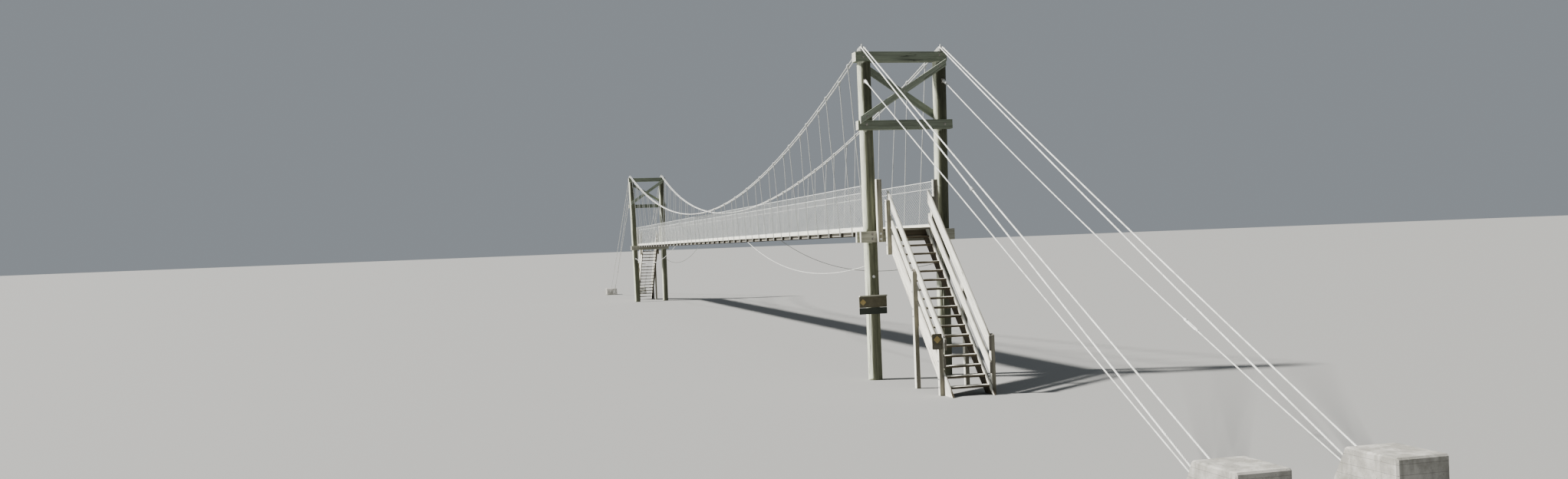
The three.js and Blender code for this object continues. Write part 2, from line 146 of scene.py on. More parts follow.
class Finish:
    """A procedural material, with a Principled surface that a section fills in. Its lengths are
    metres of the model."""

    def __init__(self, name):
        self.material = bpy.data.materials.new(name)
        self.material.use_nodes = True
        self.tree = self.material.node_tree

    def add(self, kind, settings=None, sockets=None, output=0):
        """Adds a node of one kind: its settings first, then a value or link for each socket."""
        node = self.tree.nodes.new(kind)
        for key, value in (settings or {}).items():
            setattr(node, key, value)
        self.fill(node, sockets or {})
        return Value(self, node.outputs[output])

    def fill(self, node, sockets):
        for key, value in sockets.items():
            if isinstance(value, Value):
                self.tree.links.new(value.socket, node.inputs[key])
            else:
                node.inputs[key].default_value = value

    def calculate(self, operation, *numbers):
        return self.add("ShaderNodeMath", {"operation": operation}, dict(enumerate(numbers)))

    def noise(self, place, scale=1.0, detail=3.0, rough=0.5):
        sockets = {"Vector": place, "Scale": scale, "Detail": detail, "Roughness": rough}
        return self.add("ShaderNodeTexNoise", sockets=sockets)

    def vector(self, x, y, z):
        return self.add("ShaderNodeCombineXYZ", sockets={0: x, 1: y, 2: z})

    def part(self, vector, axis):
        return self.add("ShaderNodeSeparateXYZ", sockets={0: vector}, output=axis)

    def step(self, value, low, high):
        """0 below low and 1 above high, rising smoothly between; low may be the larger."""
        return self.add(
            "ShaderNodeMapRange",
            {"interpolation_type": "SMOOTHSTEP"},
            {"Value": value, "From Min": low, "From Max": high, "To Min": 0.0, "To Max": 1.0},
        )

    def mix(self, share, first, second):
        """A colour that goes from the first to the second as the share goes from 0 to 1."""
        colours = {6: first, 7: second}
        plain = {k: (*v, 1.0) if isinstance(v, tuple) else v for k, v in colours.items()}
        return self.add("ShaderNodeMix", {"data_type": "RGBA"}, {0: share, **plain}, output=2)

    def attribute(self, name):
        return self.add("ShaderNodeAttribute", {"attribute_name": name}, output=2)

    def grain(self):
        """Distance along and around the piece, from its own map."""
        place = self.add("ShaderNodeUVMap", {"uv_map": "grain"})
        return [self.part(place, axis) for axis in (0, 1)]

    def place(self):
        return self.add("ShaderNodeTexCoord", output=3)

    def bump(self, height, depth):
        return self.add("ShaderNodeBump", sockets={"Height": height, "Distance": depth, "Strength": 1.0})

    def dress(self, colour, rough, normal, metal=0.0, specular=0.5):
        sockets = {"Base Color": colour, "Roughness": rough, "Normal": normal}
        sockets |= {"Metallic": metal, "Specular IOR Level": specular}
        self.fill(self.tree.nodes["Principled BSDF"], sockets)
        return self.material


def shaded(colour, share):
    return tuple(channel * share for channel in colour)


def weathered(name, body, groove, bleach_and_sunlit_colour, cap, sunlight_and_bleach_strength=0.5, rough=0.85, painted_shade_above=None):
    """Weathered timber: streaks and fibres drawn out along the grain, patches paled by bleaching, thin
    dark checks, and rings with radial splits on the end grain. Faces turned towards the sun are
    paled to the sunlit colour and faces turned away keep the darker body colour: partly real sun
    bleaching, partly painted sunlight and painted shade. Above a given height the faces away from
    the sun are darkened further as painted shade."""
    f = Finish(name)
    along, around = f.grain()
    tone, end, sunned = f.attribute("tone"), f.attribute("end"), f.attribute("sunned")
    shift = tone * 31.0
    streak = f.noise(f.vector(along * 2.2, around * 42.0, shift), detail=4.0, rough=0.6)
    fibre = f.noise(f.vector(along * 9.0, around * 420.0, shift), detail=3.0, rough=0.6)
    patch = f.noise(f.vector(along * 1.6, around * 5.0, shift + 7.0), detail=3.0)
    split = f.noise(f.vector(along * 1.1, around * 60.0, shift + 3.0), detail=1.0)
    check = f.step(abs(split - 0.5), 0.012, 0.002) * f.step(patch, 0.44, 0.56)
    warp = f.noise(f.vector(along * 14.0, around * 14.0, shift), detail=3.0) - 0.5
    from_pith = ((along - 0.014) ** 2.0 + (around + 0.02) ** 2.0) ** 0.5 + warp * 0.016
    growth = f.calculate("SINE", from_pith * 1300.0)
    bearing = f.calculate("ARCTAN2", along - 0.014, around + 0.02)
    shake = f.noise(f.vector(bearing * 2.6, from_pith * 6.0, shift), detail=1.0)
    shakes = f.step(abs(shake - 0.5), 0.014, 0.003)
    wood = f.mix(f.step(streak, 0.3, 0.7), groove, body)
    wood = f.mix(tone * 0.45, wood, shaded(groove, 0.5))
    # Painted sunlight: faces turned towards the sun are paled, partly as real bleaching; faces turned away
    # keep the darker body colour as painted shade.
    wood = f.mix(f.step(streak * 0.5 + patch * 0.4 + sunned * sunlight_and_bleach_strength, 0.58, 1.0), wood, bleach_and_sunlit_colour)
    wood = f.mix(f.step(fibre, 0.62, 0.35) * 0.4, wood, groove)
    wood = f.mix(f.step(streak, 0.5, 0.28) * 0.42, wood, groove)
    wood = f.mix(check * 0.85, wood, shaded(groove, 0.18))
    # Painted shade: faces away from the sun are darkened above the given height.
    if painted_shade_above:
        painted_shade = f.step(f.part(f.place(), 2) + patch * 0.3, painted_shade_above, painted_shade_above + 0.25)
        wood = f.mix(painted_shade * f.step(sunned, 0.4, 0.05) * 0.62, wood, shaded(groove, 0.3))
    face = f.mix(growth * 0.16 + patch * 0.5, cap, shaded(cap, 0.55))
    face = f.mix(shakes * 0.8, face, shaded(cap, 0.12))
    wood = f.mix(end, wood, face)
    relief = fibre * 0.35 + streak * 0.5 - check * 1.6 + end * (growth * 0.15 - shakes * 1.5)
    return f.dress(wood, rough, f.bump(relief, 0.0012), specular=0.25)


def ripple(u, v, seed, amount):
    """Slow unevenness: a sum of six seeded sine waves, long along u and shorter along v."""
    random = np.random.default_rng(seed)
    along = random.uniform(0.6, 5.0, 6)
    around = random.uniform(2.0, 14.0, 6)
    turn = random.uniform(0, 2 * np.pi, 6)
    waves = np.sin(u[..., None] * along + v[..., None] * around + turn)
    return amount * (waves / np.sqrt(along)).sum(-1) / 2.0


def loft(rings, u, v, tone=0.5, sunned=1.0):
    """A skin over closed rings, at the model's size: each face joins two neighbours on one ring
    to those on the next, and a fan about its middle closes each end. The map gives u along and
    v around. Rings with a fourth dimension in front make that many separate skins."""
    rings = model_scale * (rings if rings.ndim == 4 else rings[None])
    u, v = model_scale * u, model_scale * v
    copies, count, around = rings.shape[:3]
    middles = np.stack([rings[:, 0].mean(1), rings[:, -1].mean(1)], 1)
    points = np.concatenate([rings.reshape(copies, -1, 3), middles], 1)
    i, j = np.meshgrid(np.arange(count - 1), np.arange(around), indexing="ij")
    k = (j + 1) % around
    quads = np.stack([i * around + j, i * around + k, (i + 1) * around + k, (i + 1) * around + j], -1)
    corners = ((0, 0), (0, 1), (1, 1), (1, 0))
    quad_map = np.stack([np.stack([u[i + a], v[j + b]], -1) for a, b in corners], 2)
    edge = np.arange(around)
    after = (edge + 1) % around
    last = (count - 1) * around
    hub = np.full(around, count * around)
    fans = np.concatenate(
        [np.stack([hub, after, edge], 1), np.stack([hub + 1, last + edge, last + after], 1)]
    )
    size = np.linalg.norm(rings[0, 0] - middles[0, 0], axis=1)
    turn = np.linspace(0, 2 * np.pi, around, endpoint=False)
    flat = np.stack([size * np.cos(turn), size * np.sin(turn)], 1)
    centre = np.zeros((around, 2))
    fan_map = np.concatenate(
        [np.stack([centre, flat[after], flat[edge]], 1), np.stack([centre, flat[edge], flat[after]], 1)]
    )
    step = points.shape[1] * np.arange(copies)[:, None, None]
    # How far each point is paled as if sunlit: partly real bleaching, partly painted sunlight.
    wear_and_painted_sun = np.append(np.broadcast_to(sunned, (count, around)).ravel(), [1.0, 1.0])
    return {
        "points": points.reshape(-1, 3),
        "quads": (quads.reshape(1, -1, 4) + step).reshape(-1, 4),
        "fans": (fans[None] + step).reshape(-1, 3),
        "quad_map": np.tile(quad_map.reshape(-1, 4, 2), (copies, 1, 1)),
        "fan_map": np.tile(fan_map, (copies, 1, 1)),
        "tone": tone,
        "sunned": np.tile(wear_and_painted_sun, copies),
    }


def turned(shape, end):
    """The shape as it stands at one end of the bridge; the far end is the near one turned."""
    half_turn = [1, 1, 1] if end == "near" else [-1, -1, 1]
    tower = -half_span if end == "near" else half_span
    return {**shape, "points": shape["points"] * half_turn + [0, tower * model_scale, 0]}


def piece(name, shapes, material, slot, stands_for=(), sharp=35.0):
    """One mesh from several skins, fixed to the bridge and standing for its plain solids. Each
    vertex is paled by how far its normal turns towards the sun: partly real sun bleaching, partly
    painted sunlight on the sun side and painted shade on the other."""
    starts = np.cumsum([0] + [len(s["points"]) for s in shapes])
    points = np.concatenate([s["points"] for s in shapes])
    quads = np.concatenate([s["quads"] + a for s, a in zip(shapes, starts)])
    fans = np.concatenate([s["fans"] + a for s, a in zip(shapes, starts)])
    corners = np.concatenate([quads.ravel(), fans.ravel()])
    first = np.concatenate([np.arange(len(quads)) * 4, quads.size + np.arange(len(fans)) * 3])
    mesh = bpy.data.meshes.new(name)
    mesh.vertices.add(len(points))
    mesh.vertices.foreach_set("co", points.astype(np.float32).ravel())
    mesh.loops.add(len(corners))
    mesh.loops.foreach_set("vertex_index", corners.astype(np.int32))
    mesh.polygons.add(len(first))
    mesh.polygons.foreach_set("loop_start", first.astype(np.int32))
    mesh.update(calc_edges=True)
    places = np.concatenate([s[kind].ravel() for kind in ("quad_map", "fan_map") for s in shapes])
    mesh.uv_layers.new(name="grain").uv.foreach_set("vector", places.astype(np.float32))
    tones = np.concatenate([np.full(len(s[kind]), s["tone"]) for kind in ("quads", "fans") for s in shapes])
    capped = np.repeat([0.0, 1.0], [len(quads), len(fans)])
    facing = np.empty(len(points) * 3, np.float32)
    mesh.vertex_normals.foreach_get("vector", facing)
    # Towards the sun: the paling it gives is partly real bleaching, partly painted sunlight and painted
    # shade.
    sun_side = np.array([-0.79, 0.32, 0.62])
    sun_facing = np.clip((facing.reshape(-1, 3) @ sun_side + 0.05) * 1.3, 0, 1)
    sunned = np.concatenate([s["sunned"] for s in shapes]) * sun_facing
    marks = (("tone", "FACE", tones), ("end", "FACE", capped), ("sunned", "POINT", sunned))
    for label, domain, values in marks:
        mesh.attributes.new(label, "FLOAT", domain).data.foreach_set("value", values.astype(np.float32))
    mesh.shade_smooth()
    mesh.set_sharp_from_angle(angle=math.radians(sharp))
    mesh.materials.append(material)
    thing = bpy.data.objects.new(name, mesh)
    bpy.context.scene.collection.objects.link(thing)
    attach(thing, "root")
    if stands_for:
        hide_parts(*stands_for)


def end_piece(end, name, shapes, *more, **settings):
    """A piece of one end of the bridge, from shapes given with their tower at Y = 0."""
    piece(f"{end}_{name}", [turned(s, end) for s in shapes], *more, **settings)


# A pole, saddle or stay at the near left stands at the far right once its end is turned.
poles = [(end, side, side if end == "near" else other[side]) for end in ends for side in sides]

pole_radius, pole_top = 0.1585, 7.23
pole_foot = {"left": -0.889, "right": 0.8}
pole_lean = {"left": 0.0, "right": 0.0182}
flat_depth = 0.11
cross_levels = (5.66, 5.87)
pole_flats = [(-1, *cross_levels), (-1, 3.12, 3.375), (1, 3.12, 3.375)]


def round_pole(side, seed, shadow_banded):
    """Radius over angle and height: a slight taper, slow swellings, a few knots, and checks,
    each a narrow furrow that wanders along the grain. A flat cuts the radius off at its depth
    over the cosine of the angle from its middle. A pole with shadow bands has a darker tone and
    loses its sunlit paling in ragged bands: painted shade and painted shadow bands."""
    random = np.random.default_rng(seed)
    hair = 0.0008
    z = np.linspace(0, pole_top - hair, 125)
    for _, low, high in pole_flats:
        z = z[(z < low - 0.012) | (z > high + 0.012)]
        z = np.concatenate([z, [low - hair, low + hair, (low + high) / 2, high - hair, high + hair]])
    z = np.unique(z)
    angle = np.linspace(0, 2 * np.pi, 96, endpoint=False)
    height, turn = np.meshgrid(z, angle, indexing="ij")
    radius = pole_radius * (1.0 - 0.03 * height / pole_top)
    radius = radius + ripple(height * 0.75, turn * 0.4, seed, 0.0012)
    radius = radius - 0.0012 * np.abs(np.sin(turn * 13 + 2 * np.sin(height * 0.55 + seed)))
    for _ in range(9):
        middle, length = random.uniform(0.4, pole_top), random.uniform(0.6, 2.2)
        line = random.uniform(0, 2 * np.pi) + 0.12 * np.sin(height * random.uniform(0.4, 1.1))
        across = (turn - line + np.pi) % (2 * np.pi) - np.pi
        share = np.clip(1 - ((height - middle) / length) ** 2, 0, 1)
        radius = radius - 0.011 * np.sqrt(share) * np.exp(-((across / 0.045) ** 2))
    for _ in range(6):
        middle, line = random.uniform(0.6, pole_top - 0.4), random.uniform(0, 2 * np.pi)
        across = (turn - line + np.pi) % (2 * np.pi) - np.pi
        knot = np.exp(-((across / 0.22) ** 2) - ((height - middle) / 0.04) ** 2)
        radius = radius + 0.0036 * knot
    radius = np.minimum(radius, pole_radius)
    for facing, low, high in pole_flats:
        toward = facing * np.sin(turn)
        inside = (height > low) & (height < high) & (toward > 0.1)
        cut = flat_depth / np.maximum(toward, 0.1)
        radius = np.where(inside, np.minimum(radius, cut), radius)
    x = pole_foot[side] + pole_lean[side] * height + radius * np.cos(turn)
    sunned = 1.0
    # Painted shadow bands: on this pole the sunlit paling is taken away in ragged bands.
    if shadow_banded:
        ragged = ripple(height * 1.5, turn * 0.8, 77, 1.0) + 0.8 * np.sin(height * 2.65 + 1.0)
        sunned = np.clip(0.75 + 0.45 * ragged, 0.0, 1.0)
    around = np.linspace(0, 2 * np.pi * pole_radius, len(angle) + 1)
    rings = np.stack([x, radius * np.sin(turn), height], -1)
    # The darker tone of the pole with shadow bands is painted shade.
    return loft(rings, z, around, tone=1.5 if shadow_banded else 0.1, sunned=sunned)


# Pale sunlit colour and dark body colour on the poles' two sides: painted sunlight and painted shade,
# besides real bleaching.
pole_timber = weathered(
    "pole_timber",
    body=(0.172, 0.178, 0.118),
    groove=(0.075, 0.08, 0.05),
    bleach_and_sunlit_colour=(0.71, 0.74, 0.6),
    cap=(0.4, 0.38, 0.3),
    sunlight_and_bleach_strength=0.95,
    painted_shade_above=3.1,
)
for end, side, stands in poles:
    seed = 11 + 2 * ends.index(end) + sides.index(side)
    shape = round_pole(side, seed, shadow_banded=(end, stands) == ("near", "right"))
    end_piece(end, f"{stands}_pole_timber", [shape], pole_timber, "pole_timber", [f"{end}_{stands}_pole"])


# Tower beams and braces.
# Sawn baulks with worn arrises: a cap over the poles, a cross beam let into their fronts, two
# crossing braces, one in front on a packing block and one behind, and a pair of deck bearers.

def unit(vector):
    """The vector, or each of an array of vectors, at length one."""
    return vector / np.linalg.norm(vector, axis=-1, keepdims=True)


def lap_of(outline):
    """Distance along a closed outline at each of its points and back at the first."""
    sides_of = np.diff(np.vstack([outline, outline[:1]]), axis=0)
    return np.concatenate([[0], np.cumsum(np.linalg.norm(sides_of, axis=1))])


def baulk_section(width, depth, arris):
    """Outline of a rectangle with rounded corners, points about every 30 mm, anticlockwise
    from the lower right, with the outward direction at each point."""
    half = np.array([width, depth]) / 2 - arris
    corners = np.array([[1, -1], [1, 1], [-1, 1], [-1, -1]]) * half
    parts, facing = [], []
    for k in range(4):
        turn = np.radians(np.array([-90, -45, 0]) + 90 * k)
        out = np.stack([np.cos(turn), np.sin(turn)], 1)
        arc = corners[k] + arris * out
        side_end = corners[(k + 1) % 4] + arris * out[-1]
        steps = max(1, int(np.linalg.norm(side_end - arc[-1]) / 0.03))
        share = np.linspace(0, 1, steps + 1)[1:-1, None]
        parts += [arc, arc[-1] + (side_end - arc[-1]) * share]
        facing += [out, np.repeat(out[-1:], len(share), axis=0)]
    return np.concatenate(parts), np.concatenate(facing)


def cut_baulk(start, along, up, width, depth, foot, head, arris=0.006, seed=0, spacing=0.24, tone=None,
              painted_sunlight_share=None):
    """A rounded rectangle carried along a line from one cut to another. foot and head give, for
    a point a across and b up the section, how far along the line each cut lies there, so that
    the uneven and drawn-in rings still end in flat cuts. painted_sunlight_share gives there how
    far the point is paled as if sunlit, fully unless given; less than that is painted shade. The
    tone, 0 pale to 1 dark, comes from the seed unless it is given."""
    across = np.cross(up, along)
    section, facing = baulk_section(width, depth, arris)
    length = (head(*section.T) - foot(*section.T)).max()
    count = max(3, int(length / spacing) + 1)
    even = np.linspace(arris, length - arris, count)[1:-1]
    share = np.concatenate([[0, arris], even, [length - arris, length]])
    inset = np.zeros(len(share))
    inset[[0, -1]] = arris * 0.8
    outline = lap_of(section)
    wave = ripple(share[:, None] * 2.0, outline[:-1] * 4.0, seed, 0.0012)
    spots = section + (np.minimum(wave, 0.0) - inset[:, None])[..., None] * facing
    a, b = spots[..., 0], spots[..., 1]
    s = foot(a, b) + (head(a, b) - foot(a, b)) * (share / length)[:, None]
    points = start + s[..., None] * along + a[..., None] * across + b[..., None] * up
    if tone is None:
        tone = np.random.default_rng(seed + 1000).uniform()
    sunned = painted_sunlight_share(a, b) if painted_sunlight_share else 1.0
    return loft(points, share + 7.4 * tone, outline + 2.6 * tone, tone, sunned)


def baulk(start, stop, up, width, depth, slope=0.0, **more):
    """A baulk between two points. Its ends are square, or slanted by the slope: a point b above
    the middle line is moved along by the slope times b."""
    start, stop = np.array(start, float), np.array(stop, float)
    length = np.linalg.norm(stop - start)
    along = (stop - start) / length
    up = unit(up - along * (up @ along))

    def foot(a, b):
        return slope * b

    def head(a, b):
        return length + slope * b

    return cut_baulk(start, along, up, width, depth, foot, head, **more)


upwards = np.array([0.0, 0.0, 1.0])


def sawn(x, y, z, grain=0, **more):
    """A baulk that fills a range in X, Y and Z, its grain along X, or along Y where grain is 1."""
    low, high = np.array([x, y, z]).T
    start, stop = (low + high) / 2, (low + high) / 2
    start[grain], stop[grain] = low[grain], high[grain]
    size = high - low
    return baulk(start, stop, upwards, size[1 - grain], size[2], **more)


def bolt(centre, facing, radius):
    """A washer, a hexagon nut and a bolt's end, each a stack of rings that step out along the
    facing direction. Steps and sizes are shares of the radius."""
    facing = np.array(facing, float)
    beside = upwards if abs(facing[2]) < 0.9 else np.array([1.0, 0.0, 0.0])
    across = unit(np.cross(beside, facing))
    up = np.cross(facing, across)
    shapes = []
    for count, rings in (
        (12, [(0.0, 2.6), (0.28, 2.6), (0.36, 2.4)]),
        (6, [(0.3, 1.75), (1.1, 1.75), (1.25, 1.5)]),
        (8, [(1.0, 0.85), (1.6, 0.85), (1.75, 0.65)]),
    ):
        turn = np.linspace(0, 2 * np.pi, count, endpoint=False)
        circle = np.cos(turn)[:, None] * across + np.sin(turn)[:, None] * up
        out, size = (np.array(rings) * radius).T
        points = centre + out[:, None, None] * facing + size[:, None, None] * circle
        shapes.append(loft(points, out, np.linspace(0, 0.1, count + 1)))
    return shapes


beam_timber = weathered(
    "beam_timber",
    body=(0.215, 0.245, 0.185),
    groove=(0.125, 0.142, 0.105),
    bleach_and_sunlit_colour=(0.34, 0.37, 0.3),
    cap=(0.62, 0.62, 0.54),
    sunlight_and_bleach_strength=0.25,
)
brace_timber = weathered(
    "brace_timber",
    body=(0.305, 0.345, 0.27),
    groove=(0.185, 0.21, 0.162),
    bleach_and_sunlit_colour=(0.43, 0.465, 0.385),
    cap=(0.5, 0.5, 0.44),
    sunlight_and_bleach_strength=0.3,
)
bearer_timber = weathered(
    "bearer_timber",
    body=(0.42, 0.42, 0.345),
    groove=(0.245, 0.24, 0.19),
    bleach_and_sunlit_colour=(0.56, 0.565, 0.485),
    cap=(0.66, 0.66, 0.6),
    sunlight_and_bleach_strength=0.2,
)

pole_face, bearer_face, brace_face = 0.1606, 0.2106, 0.3706
bearer_x, bearer_z = (-1.17, 1.08), (3.12, 3.374)
beams = (
    ("cap_beam", (-1.117, 1.08), (-0.14, 0.14), (7.23, 7.45), beam_timber, 0.0),
    ("cross_beam", (-1.164, 1.092), (-0.31, -0.1105), cross_levels, beam_timber, 0.45),
    ("front_deck_bearer", bearer_x, (-bearer_face, -0.1106), bearer_z, bearer_timber, 0.3),
    ("rear_deck_bearer", bearer_x, (0.1106, bearer_face), bearer_z, bearer_timber, 0.6),
)
brace_thickness = 0.06
front_brace = {"x": (-1.12, 0.97), "mid": 6.565, "slope": 0.62, "width": 0.14, "y": -0.3406}
rear_brace = {"x": (-0.95, 1.0), "mid": 6.59, "slope": -0.67, "width": 0.166, "y": 0.1906}
packing = sawn((0.85, 0.95), (-0.312, -pole_face), (7.073, 7.173), grain=1, seed=5)


def brace_plank(brace, seed):
    """A plank in the plane of the tower whose ends are cut upright: a point b above the middle
    line is moved along by the slope times b."""
    slope = brace["slope"]
    start, stop = ([x, brace["y"], brace["mid"] + slope * x] for x in brace["x"])
    up = np.array([-slope, 0, 1])
    return baulk(start, stop, up, brace_thickness, brace["width"], slope=slope, seed=seed)


# Each row gives which way the bolts face, how far out their timber's face is, their radius, and
# where they are in X and Z.
bearer_bolts = [(x, z) for x in (pole_foot["left"], 0.86) for z in (3.2, 3.31)]
tower_bolts = (
    (-1, brace_face, 0.0095, [(0.81, 7.075), (-0.067, 6.523), (-0.963, 5.95)]),
    (-1, 0.14, 0.0095, [(0.903, 7.37), (-0.93, 7.33)]),
    (-1, 0.31, 0.011, [(-0.965, 5.78), (0.905, 5.765)]),
    (-1, bearer_face, 0.014, bearer_bolts),
    (1, 0.2206, 0.012, [(0.905, 6.0), (-0.889, 7.17)]),
    (1, bearer_face, 0.014, bearer_bolts),
)


def galvanised(name, colour, dull, metal=0.55, rough=0.42):
    """Hot-dipped zinc: pale and dull patches, and a fine uneven skin."""
    f = Finish(name)
    place = f.place()
    patch = f.noise(place, scale=22.0, detail=3.0)
    fine = f.noise(place, scale=600.0, detail=2.0)
    zinc = f.mix(f.step(patch, 0.3, 0.8) * 0.7, colour, dull)
    return f.dress(zinc, rough + patch * 0.25, f.bump(fine, 0.0003), metal)


fitting_steel = galvanised("fitting_steel", (0.5, 0.515, 0.505), (0.33, 0.34, 0.33), metal=0.4)
bolt_steel = galvanised("bolt_steel", (0.3, 0.29, 0.26), (0.16, 0.14, 0.11), metal=0.3, rough=0.6)
bolts = [
    skin
    for facing, out, radius, spots in tower_bolts
    for x, z in spots
    for skin in bolt([x, facing * out, z], [0, facing, 0], radius)
]
for count, end in enumerate(ends):
    for label, x, y, z, timber, tone in beams:
        shape = sawn(x, y, z, seed=20 + count * 10 + len(label), tone=tone)
        end_piece(end, f"{label}_timber", [shape], timber, "beam_timber", [f"{end}_{label}"])
    front = [brace_plank(front_brace, 31 + count), packing]
    rear = [brace_plank(rear_brace, 41 + count)]
    for label, shapes in (("front_brace", front), ("rear_brace", rear)):
        end_piece(end, f"{label}_timber", shapes, brace_timber, "beam_timber", [f"{end}_{label}"])
    end_piece(end, "tower_bolts", bolts, bolt_steel, "fittings")


# Saddles.
# Cast steel saddles bolted down on the cap over each pole. The two ropes of a side lie over the
# rounded block, on either side of a fin, between two cheeks.

def extruded(outline, x0, x1, bevel):
    """A closed outline in Y and Z carried along X, drawn in by the bevel at its two ends."""
    small = outline - unit(outline - outline.mean(0)) * bevel
    x = np.array([x0, x0 + bevel, x1 - bevel, x1])
    rings = np.stack([small, outline, outline, small])
    across = np.broadcast_to(x[:, None, None], (*rings.shape[:2], 1))
    return loft(np.concatenate([across, rings], -1), x - x0, lap_of(outline))


saddle_mid = {"left": -0.923, "right": 0.98}
saddle_low, saddle_half, saddle_width = 7.4512, 0.13, 0.06
saddle_crown, crown_radius, rope_radius = 7.57, 0.17, 0.0145
cheek_thickness, plate_top = 0.012, 7.462


def saddle_shapes(side):
    """The block's top is an arc under the ropes: the height of the arc's centre plus the root
    of its radius squared less y squared."""
    mid = saddle_mid[side]
    cheek_out = saddle_width + cheek_thickness
    base = [[-saddle_half, saddle_low], [saddle_half, saddle_low]]
    y = np.linspace(saddle_half, -saddle_half, 17)
    z = saddle_crown - crown_radius + np.sqrt((crown_radius - rope_radius - 0.0012) ** 2 - y**2)
    block = np.concatenate([base, np.stack([y, z], 1)])
    y = np.linspace(saddle_half, -saddle_half, 9)
    cheek = np.concatenate([base, np.stack([y, 7.558 - 0.03 * (y / saddle_half) ** 2], 1)])
    fin = np.array(
        [[-0.04, 7.46], [0.04, 7.46], [0.034, 7.62], [0.02, 7.635], [-0.02, 7.635], [-0.034, 7.62]]
    )
    foot = np.array([[-0.128, 7.4524], [0.128, 7.4524], [0.128, plate_top], [-0.128, plate_top]])
    shapes = [
        extruded(block, mid - saddle_width, mid + saddle_width, 0.004),
        extruded(cheek, mid - cheek_out, mid - saddle_width, 0.003),
        extruded(cheek, mid + saddle_width, mid + cheek_out, 0.003),
        extruded(fin, mid - 0.008, mid + 0.008, 0.0024),
        extruded(foot, mid - 0.12, mid + 0.12, 0.002),
    ]
    for x in (-0.097, 0.097):
        for y in (-0.09, 0.09):
            shapes += bolt([mid + x, y, plate_top], upwards, 0.008)
    for y in (-0.065, 0.065):
        for facing in (-1, 1):
            shapes += bolt([mid + facing * cheek_out, y, 7.506], [facing, 0, 0], 0.007)
    return shapes


saddle_iron = galvanised("saddle_iron", (0.42, 0.43, 0.41), (0.24, 0.235, 0.21), metal=0.35, rough=0.5)
for end, side, stands in poles:
    name = f"{stands}_saddle"
    end_piece(end, f"{name}_casting", saddle_shapes(side), saddle_iron, "fittings", [f"{end}_{name}"])


# Main ropes and hangers.
# Two galvanised wire ropes on each side, from one anchor over both towers to the other, and a
# hanger rod for every transom in turn on the outer and the inner rope, each held by a clamp.

# Distance out at mid-span, and for each pole at the saddle and at the anchor, with the backstay's
# sag.
rope_lines = {
    "outer": {"mid": 0.76, "left": (0.958, 1.26, 0.015), "right": (1.015, 1.12, 0.045)},
    "inner": {"mid": 0.69, "left": (0.888, 0.94, 0.015), "right": (0.945, 0.83, 0.045)},
}
rope_sag = 3.0
anchor_run, anchor_entry = 13.6, 0.25
back_slope = (saddle_crown - anchor_entry) / anchor_run


def square_to(route):
    """Two directions square to a route and to each other at each of its points, where the route
    runs from the point before to the point after."""
    ahead = unit(np.gradient(route, axis=-2))
    first = unit(np.array([1.0, 0.0, 0.0]) - ahead * ahead[..., :1])
    return first[..., None, :], np.cross(ahead, first)[..., None, :]


def tube(route, radius, around=10):
    """A round rope along a route, with a circle square to it at each point. The map gives the
    angle around, in radians."""
    first, second = square_to(route)
    turn = np.linspace(0, 2 * np.pi, around, endpoint=False)[:, None]
    size = np.broadcast_to(radius, route.shape[:-1])[..., None, None]
    rings = route[..., None, :] + size * (np.cos(turn) * first + np.sin(turn) * second)
    one = route if route.ndim == 2 else route[0]
    lap = np.concatenate([[0], np.cumsum(np.linalg.norm(np.diff(one, axis=0), axis=1))])
    return loft(rings, lap, np.linspace(0, 2 * np.pi, around + 1) / model_scale)


def laid_rope(route, radius, lay, strands=6):
    """A rope with its strands: at each point a ring with a crest for each strand and a groove
    between them, that turns once in each lay along the rope. Eleven even points make a lay. The
    map gives the angle around, in radians."""
    lap = np.concatenate([[0], np.cumsum(np.linalg.norm(np.diff(route, axis=0), axis=1))])
    place = np.linspace(0, lap[-1], int(lap[-1] / lay * 11) + 1)
    path = np.stack([np.interp(place, lap, route[:, axis]) for axis in range(3)], 1)
    first, second = square_to(path)
    turn = np.linspace(0, 2 * np.pi, strands * 2, endpoint=False)
    angle = (turn + 2 * np.pi * place[:, None] / lay)[..., None]
    size = radius * np.tile([[0.85], [1.0]], (strands, 1))
    rings = path[:, None] + size * (np.cos(angle) * first + np.sin(angle) * second)
    return loft(rings, place, np.linspace(0, 2 * np.pi, strands * 2 + 1) / model_scale)


def spot_on(route, y):
    """The point of a route at a given Y, and the route's direction there."""
    way = np.sign(route[-1, 1] - route[0, 1])
    at = np.interp(way * y, way * route[:, 1], np.arange(len(route)))
    below, above = route[int(at)], route[int(at) + 1]
    return below * (1 - at % 1) + above * (at % 1), unit(above - below)


def fitting(middle, run, rings, around=10):
    """A round fitting about a line: each ring has a place along the line and a radius."""
    out, size = np.array(rings).T
    return tube(middle + out[:, None] * run, size, around)


def span_rope(side, line, y):
    """Height and distance out of a hanging rope: a parabola, drawn in towards mid-span by the
    same share."""
    share = (y / half_span) ** 2
    saddle = np.where(y < 0, line[side][0], line[other[side]][0])
    x = outward[side] * (line["mid"] + (saddle - line["mid"]) * share)
    return np.stack([x, y, saddle_crown - rope_sag * (1 - share)], -1)


